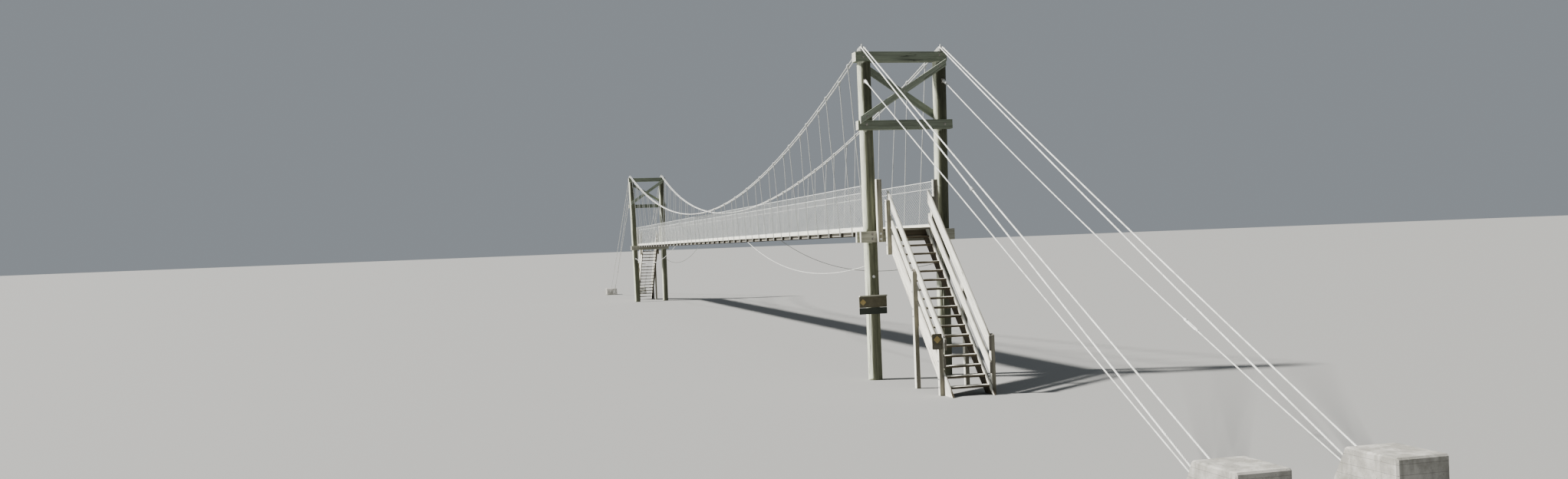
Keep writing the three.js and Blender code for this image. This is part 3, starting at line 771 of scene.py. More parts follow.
def backstay(saddle, anchor, sag):
    """A rope from its anchor up to the saddle and over its arc, with X out from the middle and Y
    out from the tower: a straight line less four times the sag times s times (1 - s)."""
    turn = np.linspace(math.atan(back_slope), -math.atan(2 * rope_sag / half_span), 10)
    drop = crown_radius * (1 - np.cos(turn))
    arc = np.stack([np.full(10, saddle), crown_radius * np.sin(turn), saddle_crown - drop], 1)
    share = np.linspace(0, 1, 26)[:, None]
    line = np.array([[anchor, anchor_run, anchor_entry]]) * (1 - share) + arc[:1] * share
    line[:, 2:] -= 4 * sag * share * (1 - share)
    return np.concatenate([line, arc[1:]])


def rope_route(side, line):
    """The whole rope: the near backstay, the hanging curve and the far backstay."""
    near = backstay(*line[side]) * [outward[side], -1, 1] - [0, half_span, 0]
    far = backstay(*line[other[side]]) * [outward[side], 1, 1] + [0, half_span, 0]
    middle = span_rope(side, line, np.linspace(-half_span, half_span, 133)[1:-1])
    return np.concatenate([near, middle, far[::-1]])


def hangers(side, line, first):
    """Rods, clamps and foot plates of one rope: a rod from every second transom end up to the
    rope, a sleeve round the rope there, and a plate on the end of the transom."""
    y = bay * np.arange(first, bays, 2) - half_span
    top = span_rope(side, line, y)
    foot = np.stack([np.full(len(y), outward[side] * 0.6676), y, np.full(len(y), 3.277)], 1)
    rods = tube(np.stack([foot, top], 1), 0.0105, around=8)
    dip = top - 0.02 * upwards
    ferrules = tube(np.stack([dip, dip + (foot - dip) * 0.045], 1), 0.016, around=8)
    lie = unit(np.stack([0 * y, np.ones(len(y)), 2 * rope_sag * y / half_span**2], 1))
    out = np.array([-0.044, -0.036, 0.036, 0.044])[:, None]
    sleeves = tube(top[:, None] + out * lie[:, None], np.array([0.025, 0.034, 0.034, 0.025]), around=8)
    corner = np.array([[-1, -1], [1, -1], [1, 1], [-1, 1]])
    plates = np.empty((len(y), 2, 4, 3))
    plates[..., 0] = np.sort(outward[side] * np.array([0.6605, 0.668]))[:, None]
    plates[..., 1] = y[:, None, None] + corner[:, 0] * 0.014
    plates[..., 2] = 3.328 + corner[:, 1] * 0.045
    squares = loft(plates, np.array([0, 0.008]), np.linspace(0, 0.4, 5))
    nuts = tube(np.stack([foot + 0.006 * upwards, foot + 0.03 * upwards], 1), 0.013, around=6)
    return [rods, ferrules, sleeves, squares, nuts]


def stranded(name, colour, dull):
    """Zinc-coated rope: dull grey in the grooves between its six strands, which lie at even turns
    of the map, and the fine wires of a strand as a sine across it."""
    f = Finish(name)
    along, around = f.grain()
    strand = f.calculate("COSINE", around * 6.0)
    wires = f.calculate("SINE", around * 6.0 * 5.0 - along * 1500.0)
    groove = f.step(strand, 0.55, 1.0)
    patch = f.noise(f.place(), scale=14.0, detail=3.0)
    zinc = f.mix(f.step(patch, 0.35, 0.7), colour, dull)
    zinc = f.mix(groove * 0.5, zinc, (0.22, 0.22, 0.2))
    return f.dress(zinc, patch * 0.2 + 0.42, f.bump(wires, 0.0001), 0.2)


main_rope_zinc = stranded("main_rope_zinc", (0.74, 0.75, 0.72), (0.52, 0.53, 0.5))
for side in sides:
    for first, (label, line) in enumerate(rope_lines.items(), 1):
        node = f"{side}_{label}_main_rope"
        rope = laid_rope(rope_route(side, line), rope_radius, 0.235)
        piece(f"{node}_strands", [rope], main_rope_zinc, "wire_rope", [node], sharp=60.0)
        piece(f"{node}_hangers", hangers(side, line, first), fitting_steel, "fittings")

left_backstay = backstay(*rope_lines["outer"]["left"]) * [-1, -1, 1]
grip_rings = [(-0.05, 0.02), (-0.045, 0.027), (-0.01, 0.027), (-0.01, 0.034)]
grip_rings += [(-out, size) for out, size in grip_rings[::-1]]
grip = fitting(*spot_on(left_backstay, -6.64), grip_rings)
end_piece("near", "left_backstay_grip", [grip], fitting_steel, "fittings")


# Lower stays and storm guys.
# A thinner rope runs from an eye plate on each pole to the anchor block, with a poured socket at
# its top. Below the deck another one sags from each pole out to a transom, against the wind.

lower_stays = {
    "left": {"top": -0.93, "foot": -1.2, "sag": 0.015},
    "right": {"top": 0.946, "foot": 0.9, "sag": 0.17},
}
stay_radius, guy_radius = 0.012, 0.01
stay_high, stay_entry = 6.77, 0.13
transom_low = 3.275
guy_low, guy_bays = 2.32, 14


def stay_route(side):
    """A lower stay from its eye down to the block: a straight line less the sag."""
    line = lower_stays[side]
    front = anchor_run - (anchor_entry - stay_entry) * back_slope - 0.0012
    share = np.linspace(0, 1, 30)[:, None]
    route = np.array([line["top"], -0.21, stay_high]) * (1 - share)
    route = route + np.array([line["foot"], -front, stay_entry]) * share
    route[:, 2:] -= 4 * line["sag"] * share * (1 - share)
    return route


def guy_route(side):
    """A storm guy from its pole out to a transom: a parabola that is lowest 5.5 m out, tilted a
    little so that it ends just under the transom."""
    tower_x = pole_foot[side] + pole_lean[side] * guy_low
    y = np.linspace(0.1812, guy_bays * bay, 40)
    share = (y - y[0]) / (y[-1] - y[0])
    height = guy_low + 0.0101 * (y - 5.5) ** 2
    drop = height[-1] - (transom_low - 0.0006 - guy_radius)
    x = tower_x + (outward[side] * 0.6 - tower_x) * share
    return np.stack([x, y, height - drop * share], 1)


def eye_plate(x, back, z, facing, wide, high, deep):
    """A base plate against the timber with a lug on it, the lug's outline rounded at its
    outer end, and four bolts."""
    front, nose = back + facing * 0.014, 0.025
    base = baulk([x, back, z], [x, front, z], upwards, wide, high, arris=0.0016)
    turn = np.linspace(-np.pi / 2, np.pi / 2, 9)
    tip = np.stack([facing * (deep - nose + nose * np.cos(turn)), nose * np.sin(turn)], 1)
    root = [[facing * 0.01, 0.035], [facing * 0.01, -0.035]]
    outline = np.concatenate([tip, root])[::facing] + [back, z]
    shapes = [base, extruded(outline, x - 0.008, x + 0.008, 0.0016)]
    for dx in (-0.35, 0.35):
        for dz in (-0.38, 0.38):
            shapes += bolt([x + dx * wide, front, z + dz * high], [0, facing, 0], 0.006)
    return shapes


def turnbuckle(middle, run):
    """Two end bosses and two side bars, along the rope."""
    boss = [(-0.2, 0.014), (-0.19, 0.02), (-0.14, 0.02), (-0.13, 0.014)]
    bosses = [fitting(middle, run, rings, 8) for rings in (boss, [(-out, size) for out, size in boss[::-1]])]
    beside = np.array([0.02, 0.0, 0.0])
    bars = [fitting(middle + k * beside, run, [(-0.16, 0.008), (0.16, 0.008)], 6) for k in (-1, 1)]
    return bosses + bars


stay_zinc = stranded("stay_zinc", (0.7, 0.71, 0.68), (0.5, 0.51, 0.48))
socket_zinc = galvanised("socket_zinc", (0.72, 0.73, 0.71), (0.5, 0.5, 0.48), metal=0.2, rough=0.4)
socket_rings = [
    (0.0, 0.024), (0.006, 0.032), (0.03, 0.036), (0.075, 0.034), (0.2, 0.02), (0.26, 0.016), (0.27, 0.013)
]
clip_rings = [(-0.12, 0.012), (-0.115, 0.018), (-0.02, 0.018), (-0.015, 0.012)]
for end, side, stands in poles:
    name = f"{stands}_lower_stay"
    route = stay_route(side)
    fittings = [fitting(route[0], unit(route[1] - route[0]), socket_rings, 14)]
    if side == "right":
        fittings += turnbuckle(*spot_on(route, -10.1))
    eye_parts = eye_plate(route[0, 0], -pole_face, stay_high, -1, 0.07, 0.1, 0.08)
    rope = laid_rope(route, stay_radius, 0.18)
    end_piece(end, f"{name}_strands", [rope], stay_zinc, "fittings", [f"{end}_{name}"], sharp=60.0)
    end_piece(end, f"{name}_fittings", fittings, socket_zinc, "fittings")
    end_piece(end, f"{name}_eye", eye_parts, bolt_steel, "fittings")

    name = f"{stands}_storm_guy"
    route = guy_route(side)
    fittings = eye_plate(route[0, 0], pole_face, route[0, 2], 1, 0.06, 0.08, 0.07)
    fittings.append(fitting(route[-1], unit(route[-1] - route[-2]), clip_rings))
    fittings += bolt([route[0, 0], -0.1555, guy_low + 0.025], [0, -1, 0], 0.013)
    rope = laid_rope(route, guy_radius, 0.18, strands=5)
    end_piece(end, f"{name}_strands", [rope], stay_zinc, "fittings", [f"{end}_{name}"], sharp=60.0)
    end_piece(end, f"{name}_fittings", fittings, fitting_steel, "fittings")


# Anchor blocks.
# Cast concrete blocks on the ground behind each stair, their sloping fronts square to the ropes,
# with board marks, stains and a steel sleeve round every rope that goes in.

anchor_high, anchor_back, anchor_reach = 0.45, 14.6, (0.68, 1.4)


def concrete_finish():
    """Grey cement with sand, small dark holes, board marks at even heights and damp stains that
    are darker near the ground."""
    f = Finish("cast_concrete")
    place = f.place()
    height = f.part(place, 2)
    cloud = f.noise(place, scale=7.0, detail=6.0, rough=0.6)
    sand = f.noise(place, scale=420.0, detail=2.0)
    pores = f.step(f.noise(place, scale=130.0, detail=1.0), 0.3, 0.24)
    damp = f.step(height + cloud * 0.12 - 0.06, 0.06, -0.02)
    boards = f.step(abs(f.calculate("FRACT", height / 0.062) - 0.5), 0.47, 0.495)
    drawn = f.add("ShaderNodeMapping", sockets={"Vector": place, "Scale": (26.0, 26.0, 3.0)})
    streaks = f.noise(drawn, detail=3.0)
    shade = f.mix(f.step(cloud, 0.38, 0.64), (0.2, 0.195, 0.175), (0.4, 0.39, 0.36))
    shade = f.mix(f.step(streaks, 0.52, 0.7) * 0.6, shade, (0.15, 0.15, 0.13))
    shade = f.mix(sand * 0.35, shade, (0.5, 0.48, 0.43))
    shade = f.mix(boards * 0.5, shade, (0.17, 0.165, 0.15))
    shade = f.mix(damp * 0.7, shade, (0.13, 0.135, 0.1))
    shade = f.mix(pores * 0.8, shade, (0.09, 0.09, 0.08))
    relief = sand * 0.5 + cloud - pores * 1.2 + boards * 0.8
    return f.dress(shade, 0.93, f.bump(relief, 0.0016), specular=0.25)


def anchor_shape(side, seed):
    """The block's outline in Y and Z, twelve points to a side, carried along X with bevelled ends
    and a slow unevenness."""
    x0, x1 = np.sort(outward[side] * np.array(anchor_reach))
    front_low = anchor_run - anchor_entry * back_slope
    front_high = anchor_run + (anchor_high - anchor_entry) * back_slope
    y = [-anchor_back, -front_low, -front_high, -anchor_back]
    corners = np.stack([y, [0.0, 0.0, anchor_high, anchor_high]], 1)
    bevel = 0.024
    after = np.roll(corners, -1, axis=0)
    way = unit(after - corners) * bevel
    share = np.linspace(0, 1, 12)[:, None]
    outline = ((corners + way)[:, None] + (after - corners - 2 * way)[:, None] * share).reshape(-1, 2)
    inward = unit(outline.mean(0) - outline)
    places = np.concatenate([[x0], np.linspace(x0 + bevel, x1 - bevel, 16), [x1]])
    inset = np.zeros(len(places))
    inset[[0, -1]] = bevel
    wave = ripple(places[:, None] * 4.5, np.arange(len(outline)) * 0.35, seed, 0.001)
    ring = outline + inward * (inset[:, None] + np.abs(wave))[..., None]
    ring[..., 1] = np.maximum(ring[..., 1], 0.0)
    across = np.broadcast_to(places[:, None, None], (*ring.shape[:2], 1))
    return loft(np.concatenate([across, ring], -1), places, np.linspace(0, 2, len(outline) + 1))


cast_concrete = concrete_finish()
for end, side, stands in poles:
    name = f"{stands}_anchor_block"
    block = anchor_shape(side, 3 + sides.index(side))
    end_piece(end, f"{name}_cast", [block], cast_concrete, "concrete", [f"{end}_{name}"])
    routes = [backstay(*rope_lines[label][side]) * [outward[side], -1, 1] for label in ("inner", "outer")]
    sleeves = []
    for route, share in zip([*routes, stay_route(side)[::-1]], (1.9, 1.9, 1.5)):
        wide = rope_radius * share
        rings = [(-0.01, wide), (0.02, wide), (0.024, wide * 0.85)]
        sleeves.append(fitting(route[0], unit(route[1] - route[0]), rings, 14))
    end_piece(end, f"{name}_sleeves", sleeves, fitting_steel, "fittings")


# Deck transoms and runners.
# A sawn transom on every pair of hangers, and two runners halved into them along the whole deck,
# spliced every few bays. The transoms' near-white end grain is painted sunlight on their ends,
# and the dark sides of transoms and runners are painted shade.

def transom_y(number):
    """Where a transom lies along the bridge, by its number from the near tower."""
    return bay * np.asarray(number) - half_span


def in_line(x, joints, gap, z, seed, **more):
    """Boards from each joint along the bridge to the next, short of both by the gap."""
    return [
        sawn(x, (a + gap, b - gap), z, seed=seed + k, **more)
        for k, (a, b) in enumerate(zip(joints, joints[1:]))
    ]


# Dark body and near-white end grain: painted shade on the sides, painted sunlight on the ends.
transom_timber = weathered(
    "transom_timber",
    body=(0.13, 0.115, 0.085),
    groove=(0.06, 0.052, 0.038),
    bleach_and_sunlit_colour=(0.42, 0.4, 0.34),
    cap=(0.82, 0.81, 0.75),
    sunlight_and_bleach_strength=0.6,
)
every_transom = transom_y(range(1, bays))
transom_x, transom_z, runner_z = (-0.66, 0.66), (transom_low, 3.3744), (3.287, 3.372)
sawn_shapes = [
    sawn(transom_x, (y - 0.025, y + 0.025), transom_z, arris=0.003, seed=300 + k, spacing=0.6)
    for k, y in enumerate(every_transom)
]
joints = np.concatenate([[-23.24], transom_y(range(4, bays, 4)), [23.24]])
for x in (-0.56, 0.56):
    across = (x - 0.03, x + 0.03)
    sawn_shapes += in_line(across, joints, 0.001, runner_z, 400, grain=1, spacing=0.8, arris=0.003)
sawn_node = "deck_transoms_and_runners"
piece(f"{sawn_node}_sawn", sawn_shapes, transom_timber, "bearer_timber", [sawn_node])


# Deck planks.
# Eight rows of long planks nailed down to the transoms, with butt joints over them, and short
# boards for the landings in front of the towers, all with the one walked finish.

walked_timber = weathered(
    "walked_timber",
    body=(0.3, 0.285, 0.235),
    groove=(0.15, 0.14, 0.11),
    bleach_and_sunlit_colour=(0.5, 0.49, 0.44),
    cap=(0.4, 0.38, 0.32),
    sunlight_and_bleach_strength=0.35,
)
# Near-white sunlit colour: painted sunlight, partly real bleaching. The dark end grain is painted shade, set
# for rail ends that face away from the sun.
pale_timber = weathered(
    "pale_timber",
    body=(0.32, 0.305, 0.245),
    groove=(0.16, 0.148, 0.108),
    bleach_and_sunlit_colour=(0.86, 0.855, 0.765),
    cap=(0.17, 0.155, 0.125),
    sunlight_and_bleach_strength=1.1,
    rough=0.8,
)
rows_half = 0.6144
row_width = 2 * rows_half / 8
rows = row_width * (np.arange(8) + 0.5) - rows_half
board_low, deck_top = 3.3755, 3.42
board_z = (board_low, deck_top)
plank_shapes = []
for row, x in enumerate(rows):
    random = np.random.default_rng(500 + row)
    stops = np.cumsum(random.integers(3, 6, 20)) + row % 3 - 1
    joints = np.concatenate([[-23.745], transom_y(stops[(stops > 1) & (stops < bays - 1)]), [23.745]])
    across = (x - row_width / 2 + 0.0035, x + row_width / 2 - 0.0035)
    seed = 520 + 20 * row
    plank_shapes += in_line(across, joints, 0.0016, board_z, seed, grain=1, spacing=0.6, arris=0.0036)
landing = np.linspace(-0.3695, -0.2065, 3)
landing_shapes = in_line((-0.508, 0.428), landing, 0.002, board_z, 700, arris=0.0036)
plank_shapes += [turned(s, end) for end in ends for s in landing_shapes]
piece("deck_floor_planks", plank_shapes, walked_timber, "pale_timber", ["deck_floor"])


def nail_heads(x, z, radius, height):
    """A low dome over each transom at each X: a ring of seven points and a smaller one above."""
    places = np.stack(np.meshgrid(x, every_transom, [z], indexing="ij"), -1).reshape(-1, 3)
    turn = np.linspace(0, 2 * np.pi, 7, endpoint=False)
    circle = np.stack([np.cos(turn), np.sin(turn), 0 * turn], -1) * radius
    rings = np.stack([circle, circle * 0.7 + height * upwards])
    return loft(places[:, None, None] + rings, np.array([0, 0.002]), np.linspace(0, 0.02, 8))


nail_x = (rows[:, None] + np.array([-0.3, 0.3]) * row_width).ravel()
piece("deck_nails", [nail_heads(nail_x, 3.4195, 0.006, 0.0012)], fitting_steel, "fittings")


# Kerbs.
# A board on edge along each side of the deck, butt-jointed every four bays and fixed with a coach
# screw at each transom. The faces towards the sun are paled almost white: partly sun bleaching,
# partly painted sunlight.

kerb_out, kerb_half, kerb_z = 0.6375, 0.02225, (board_low, 3.4825)
joints = np.concatenate([[-23.64], transom_y(range(3, bays - 1, 4)), [23.64]])
for side in sides:
    x = outward[side] * kerb_out
    across = (x - kerb_half, x + kerb_half)
    boards = in_line(across, joints, 0.002, kerb_z, 800, grain=1, spacing=0.6, arris=0.004)
    piece(f"{side}_kerb_boards", boards, pale_timber, "pale_timber", [f"{side}_kerb"])
    screws = nail_heads([x], 3.482, 0.009, 0.002)
    piece(f"{side}_kerb_screws", [screws], fitting_steel, "fittings")


# Nets.
# Chain-link wire netting on both sides of the deck, from the kerb up to two straining wires, and
# drawn to the newel posts at both ends. Each wire zigzags and hooks its neighbour at every bend.

net_post, net_end = {"left": 0.705, "right": 0.62}, 23.75
net_out, mesh_size, mesh_radius = 0.645, 0.075, 0.0021


def net_x(side, y):
    """Distance out of the net: straight along the deck, slanting to the posts past the towers."""
    stops = [-net_end, -half_span, half_span, net_end]
    out = [net_post[side], net_out, net_out, net_post[other[side]]]
    return outward[side] * np.interp(y, stops, out)


def zigzags(side):
    """Each wire steps up by half a mesh at a time and swings half a mesh to either side, against
    its neighbours, so that they hook at every bend. It is thicker along Y by the root of two,
    because the wire leans there by 45 degrees."""
    y0 = np.arange(-23.70, 23.72, mesh_size)[:, None]
    z = np.arange(3.487, 4.468, mesh_size / 2)
    swing = 1.0 - 2.0 * ((np.arange(len(y0))[:, None] + np.arange(len(z))) % 2)
    y = np.clip(y0 + swing * (mesh_size / 2 + 0.0005), -23.748, 23.748)
    middle = np.stack([net_x(side, y) + swing * mesh_radius, y, np.broadcast_to(z, y.shape)], -1)
    turn = np.linspace(0, 2 * np.pi, 3, endpoint=False)
    circle = np.stack([np.cos(turn), 1.414 * np.sin(turn), 0 * turn], -1) * mesh_radius
    return loft(middle[..., None, :] + circle, z, np.linspace(0, 2 * np.pi, 4) / model_scale)


net_zinc = galvanised("net_zinc", (0.82, 0.84, 0.82), (0.6, 0.62, 0.6), metal=0.2, rough=0.45)
y = np.concatenate([[-net_end], np.linspace(-half_span, half_span, bays + 1), [net_end]])
for side in sides:
    wires = [
        tube(np.stack([net_x(side, y), y, np.full(len(y), z)], 1), radius, around=8)
        for z, radius in ((3.492, 0.004), (4.3, 0.0045), (4.47, 0.0065))
    ]
    piece(f"{side}_net_wires", wires, net_zinc, "net_wire", [f"{side}_net"], sharp=60.0)
    piece(f"{side}_net_mesh", [zigzags(side)], net_zinc, "net_wire", sharp=80.0)


# Stair flights.
# Two stringers on edge with their feet cut level on the ground and their heads cut to the deck
# bearer, seventeen open treads between them, and a board under the landing.

going, rise, steps = 0.196, 0.19, 18
slope_length = math.hypot(going, rise)
stair_along = np.array([0.0, going, rise]) / slope_length
stair_up = np.array([0.0, -rise, going]) / slope_length
stair_foot = -0.37 - steps * going
tread_x, tread_depth, tread_thickness = (-0.512, 0.322), 0.22, 0.045


def nosing(y):
    """Height of the line through the fronts of the treads."""
    return (rise / going) * (y - stair_foot)


def stringer(x, seed):
    """A plank 0.45 m deep measured upright. A point b above its middle line meets the ground
    where the climb undoes its height, and stops at the deck or at the bearer, whichever is first.
    On its inner face only a strip in front of the treads is paled as if sunlit; behind the
    treads that face keeps the dark colour as painted shade."""
    above, below = 0.03, 0.42
    start = np.array([x, stair_foot, (above - below) / 2])
    width = (above + below) * stair_up[2]

    def foot(a, b):
        return -(start[2] + b * stair_up[2]) / stair_along[2]

    def head(a, b):
        at_deck = (3.3738 - start[2] - b * stair_up[2]) / stair_along[2]
        at_bearer = (-0.2115 - start[1] - b * stair_up[1]) / stair_along[1]
        return np.minimum(at_deck, at_bearer)

    # Painted shade on the inner face behind the treads; only the front strip is paled as if sunlit.
    def painted_sunlight_share(a, b):
        front = np.clip((b - width / 2) / 0.03 + 2.6, 0.0, 1.0)
        return np.where(a * x > 0, front, 1.0)

    return cut_baulk(start, stair_along, stair_up, 0.05, width, foot, head, seed=seed, painted_sunlight_share=painted_sunlight_share)


def screw_heads(x, facing):
    """Two screw heads in the end of every tread, each of three rings that step out along X."""
    turn = np.linspace(0, 2 * np.pi, 8, endpoint=False)
    circle = np.stack([0 * turn, facing * np.cos(turn), np.sin(turn)], -1) * 0.007
    out = np.array([0.0, 0.4, 0.6])[:, None, None] * [facing * 0.0024, 0, 0]
    rings = np.array([1.0, 0.9, 0.5])[:, None, None] * circle + out
    y, z = tread_y + tread_depth / 2, tread_top - tread_thickness / 2
    places = np.concatenate([np.stack([np.full(len(y), x), y + k, z], 1) for k in (-0.05, 0.05)])
    return loft(places[:, None, None] + rings, np.array([0, 0.002, 0.004]), np.linspace(0, 0.02, 9))


# Tread tops paled near white as painted sunlight, partly real bleaching; the dark body on the fronts is
# painted shade.
tread_timber = weathered(
    "tread_timber",
    body=(0.11, 0.09, 0.058),
    groove=(0.05, 0.04, 0.025),
    bleach_and_sunlit_colour=(0.88, 0.86, 0.76),
    cap=(0.4, 0.37, 0.3),
    sunlight_and_bleach_strength=1.3,
)
tread_y, tread_top = stair_foot + going * np.arange(1, steps), rise * np.arange(1, steps)
screws = [screw_heads(-0.56, -1), screw_heads(0.37, 1)]
for count, end in enumerate(ends):
    flight = [stringer(-0.535, 900 + count), stringer(0.345, 910 + count)]
    seed = 921 + 20 * count
    treads = [
        sawn(tread_x, (y, y + tread_depth), (z - tread_thickness, z), arris=0.004, seed=seed + k)
        for k, (y, z) in enumerate(zip(tread_y, tread_top))
    ]
    fascia = sawn(tread_x, (-0.368, -0.328), (3.231, 3.373), seed=930)
    node = f"{end}_stair_flight"
    end_piece(end, "stair_stringers", flight, tread_timber, "pale_timber", [node])
    end_piece(end, "stair_treads", [*treads, fascia], tread_timber, "pale_timber")
    end_piece(end, "stair_screws", screws, fitting_steel, "fittings")


# Stair railings.
# Three posts a side bolted to the stringer, and two boards on edge along the slope, the upper one
# deeper, with their ends cut upright.

# A post has its range in Y and in Z and its tone, and a rail its range in Y and above the nosings.
# The darker tones, most on the right, are painted shade for posts that stand in shade.
railings = {
    "left": {
        "rail_x": (-0.562, -0.51),
        "post_x": (-0.655, -0.5606),
        "posts": [(-0.53, -0.43, 2.83, 4.07, 0.0), (-2.11, -2.0, 0, 2.53, 0.7), (-3.5, -3.4, 0, 1.2, 0.2)],
        "rails": [(-3.5, -0.42, 0.17, 0.355), (-3.58, -0.33, 0.6, 0.82)],
    },
    "right": {
        "rail_x": (0.32, 0.372),
        "post_x": (0.3706, 0.46),
        "posts": [
            (-0.66, -0.56, 2.83, 4.11, 1.0), (-2.33, -2.22, 0, 2.33, 0.7), (-3.72, -3.62, 0, 1.21, 0.4)
        ],
        "rails": [(-3.75, -0.56, 0.27, 0.5), (-3.75, -0.55, 0.72, 1.02)],
    },
}
post_bevels = (0.2, 0.55, 0.3)


def upright(x, y, z, seed, tone, bevel=0.0):
    """A post with a level foot. Its head falls towards -Y by the bevel times the distance."""
    width, depth, height = x[1] - x[0], y[1] - y[0], z[1] - z[0]

    def foot(a, b):
        return 0 * b

    def head(a, b):
        return height + bevel * (b - depth / 2)

    start = np.array([sum(x) / 2, sum(y) / 2, z[0]])
    deckward = np.array([0.0, 1.0, 0.0])
    return cut_baulk(start, upwards, deckward, width, depth, foot, head, seed=seed, tone=tone)


def sloping_rail(x, y, low, high, seed):
    """A board along the stair's slope between two offsets above the line of the nosings."""
    start, stop = ([sum(x) / 2, end_y, nosing(end_y) + (low + high) / 2] for end_y in y)
    depth = (high - low) * going / slope_length
    return baulk(start, stop, upwards, x[1] - x[0], depth, slope=rise / going, seed=seed, arris=0.005)


for end, side, stands in poles:
    count = ends.index(end)
    made = railings[side]
    face = outward[side] * max(abs(x) for x in made["post_x"])
    shapes, bolts = [], []
    for k, (y0, y1, z0, z1, tone) in enumerate(made["posts"]):
        seed = 1000 + 10 * k + count
        shapes.append(upright(made["post_x"], (y0, y1), (z0, z1), seed, tone, post_bevels[k]))
        middle = (y0 + y1) / 2
        crossings = [(low + high) / 2 for _, _, low, high in made["rails"]]
        for height in nosing(middle) + np.array([*crossings, -0.1, -0.26]):
            if max(z0, 0.06) < height < z1 - 0.03:
                bolts += bolt([face, middle, height], [outward[side], 0, 0], 0.009)
    for k, (y0, y1, low, high) in enumerate(made["rails"]):
        shapes.append(sloping_rail(made["rail_x"], (y0, y1), low, high, 1050 + 10 * k + count))
    name = f"{stands}_stair_railing"
    end_piece(end, f"{name}_timber", shapes, pale_timber, "pale_timber", [f"{end}_{name}"])
    end_piece(end, f"{name}_bolts", bolts, fitting_steel, "fittings")


# Newel posts.
# Sawn posts bolted to the face of the front deck bearer, where the nets and railings end. Their
# faces away from the sun keep a dark colour as painted shade, and the right one's darker tone is
# painted shade too.

newel_y = (-0.3312, -0.2112)
newels = {"left": ((-0.8, -0.68), 4.54, 0.0), "right": ((0.56, 0.66), 4.5, 0.7)}
for end, side, stands in poles:
    x, high, tone = newels[side]
    name = f"{stands}_newel_post"
    post = upright(x, newel_y, (bearer_z[0], high), 1200 + len(f"{end}_{name}"), tone)
    bolts = [skin for z in (3.19, 3.31) for skin in bolt([sum(x) / 2, newel_y[0], z], [0, -1, 0], 0.01)]
    end_piece(end, f"{name}_timber", [post], pale_timber, "pale_timber", [f"{end}_{name}"])
    end_piece(end, f"{name}_bolts", bolts, fitting_steel, "fittings")


# Signs.
# A painted board with a timber ledge on the near left pole, and a small plate on the foot of the
# near stair, each with a plain raised diamond. They carry no words.

def sign_paint(name, colour, wear_and_painted_sun):
    """Flat outdoor paint: slightly uneven, chalky in patches, with fine scratches."""
    f = Finish(name)
    place = f.place()
    cloud = f.noise(place, scale=18.0, detail=5.0)
    fine = f.noise(place, scale=260.0, detail=3.0)
    scratch = f.step(f.noise(place, scale=90.0, detail=6.0, rough=0.7), 0.66, 0.72)
    shade = f.mix(f.step(cloud, 0.35, 0.75) * 0.5, colour, wear_and_painted_sun)
    shade = f.mix(scratch * 0.6, shade, wear_and_painted_sun)
    return f.dress(shade, cloud * 0.25 + 0.42, f.bump(fine, 0.0003))


def plate(outline, back, thick, edge):
    """An outline in X and Z, anticlockwise from the front, carried towards the stair and drawn in
    by the edge's width at its face."""
    inward = unit(outline.mean(0) - outline)
    depth = np.array([0.0, thick - edge, thick])
    drawn = outline + np.array([0.0, 0.0, edge])[:, None, None] * inward
    y = np.broadcast_to(back - depth[:, None], drawn.shape[:2])
    rings = np.stack([drawn[..., 0], y, drawn[..., 1]], -1)
    return loft(rings, depth, np.linspace(0, 0.4, len(outline) + 1))


def panel(x, z, back, thick, corner):
    """A plate whose outline is a rectangle with rounded corners, seven points to each."""
    turn = np.radians(np.linspace(-90, 0, 7) + 90 * np.arange(4)[:, None]).ravel()
    quarter = np.repeat([[1, -1], [1, 1], [-1, 1], [-1, -1]], 7, axis=0)
    low, high = np.array([x, z]).T
    outline = (low + high) / 2 + quarter * ((high - low) / 2 - corner)
    return plate(outline + corner * np.stack([np.cos(turn), np.sin(turn)], 1), back, thick, 0.002)


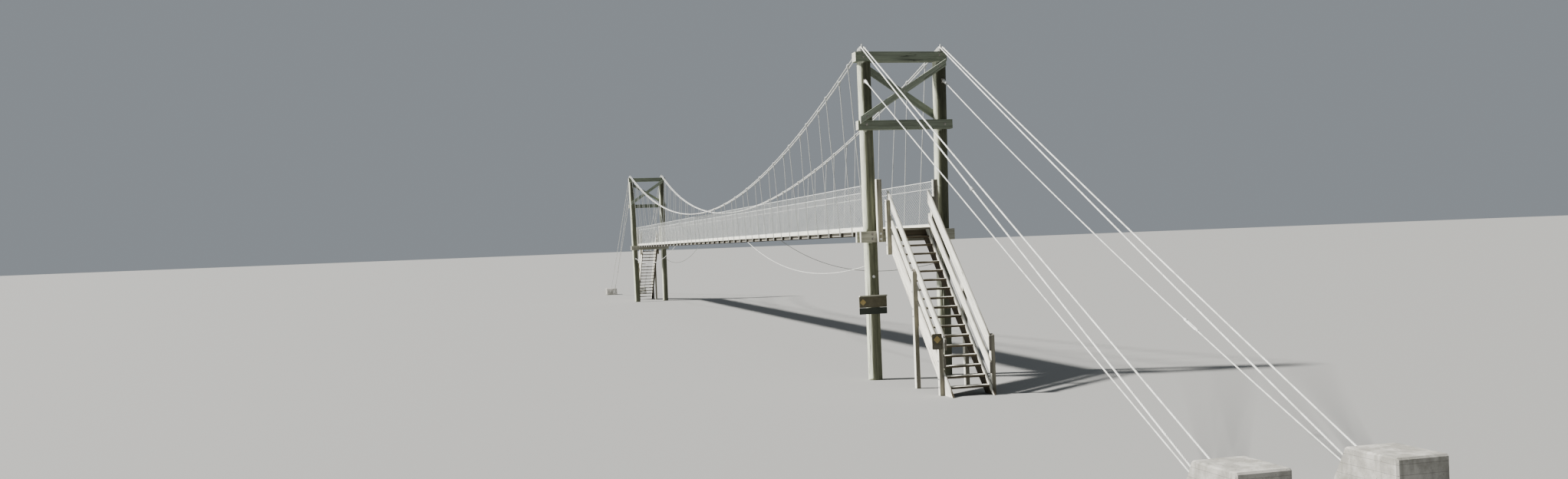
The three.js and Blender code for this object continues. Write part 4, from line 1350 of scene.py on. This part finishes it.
def diamond(x, z, half, back):
    """A thin plate stood on its corner: how far it reaches in a direction is its half height
    over the sum of the cosine and the sine there, and each corner is cut off a little."""
    turn = np.radians(np.array([-6, 0, 6]) + 90 * np.arange(4)[:, None]).ravel()
    lean = np.maximum(np.abs(np.cos(turn)) + np.abs(np.sin(turn)), 1.06)[:, None]
    outline = np.array([x, z]) + half / lean * np.stack([np.cos(turn), np.sin(turn)], 1)
    return plate(outline, back, 0.0032, 0.001)


brown_paint = sign_paint("brown_paint", (0.06, 0.053, 0.026), (0.12, 0.108, 0.066))
green_paint = sign_paint("green_paint", (0.006, 0.012, 0.005), (0.02, 0.03, 0.018))
tan_paint = sign_paint("tan_paint", (0.3, 0.215, 0.06), (0.36, 0.29, 0.14))
dun_paint = sign_paint("dun_paint", (0.082, 0.075, 0.05), (0.13, 0.12, 0.085))
board_x, board_thick = (-1.26, -0.61), 0.02
board_front = -pole_face - board_thick
upper = panel(board_x, (1.653, 1.9), -pole_face, board_thick, 0.012)
lower = panel(board_x, (1.5, 1.647), -pole_face, board_thick, 0.012)
rims = [panel((-1.24, -0.63), (z, z + 0.008), board_front, 0.0024, 0.003) for z in (1.665, 1.88)]
ledge = sawn(board_x, (-pole_face - 0.07, -pole_face), (1.899, 1.929), arris=0.004, seed=62)
foot_back, foot_thick = -3.5012, 0.018
foot_front = foot_back - foot_thick
foot_plate = panel((-0.79, -0.58), (0.935, 1.25), foot_back, foot_thick, 0.025)
foot_band = panel((-0.775, -0.595), (0.952, 1.022), foot_front, 0.0024, 0.012)
for name, shapes, paint, stands_for in (
    ("info_sign_upper", [upper, *rims], brown_paint, ["near_info_sign"]),
    ("info_sign_lower", [lower], green_paint, []),
    ("info_sign_diamond", [diamond(-1.175, 1.775, 0.075, board_front)], tan_paint, []),
    ("foot_sign_plate", [foot_plate], brown_paint, ["near_foot_sign"]),
    ("foot_sign_band", [foot_band], dun_paint, []),
    ("foot_sign_diamond", [diamond(-0.685, 1.135, 0.08, foot_front)], tan_paint, []),
):
    end_piece("near", name, shapes, paint, "sign_panel", stands_for)
end_piece("near", "info_sign_ledge", [ledge], bearer_timber, "beam_timber")
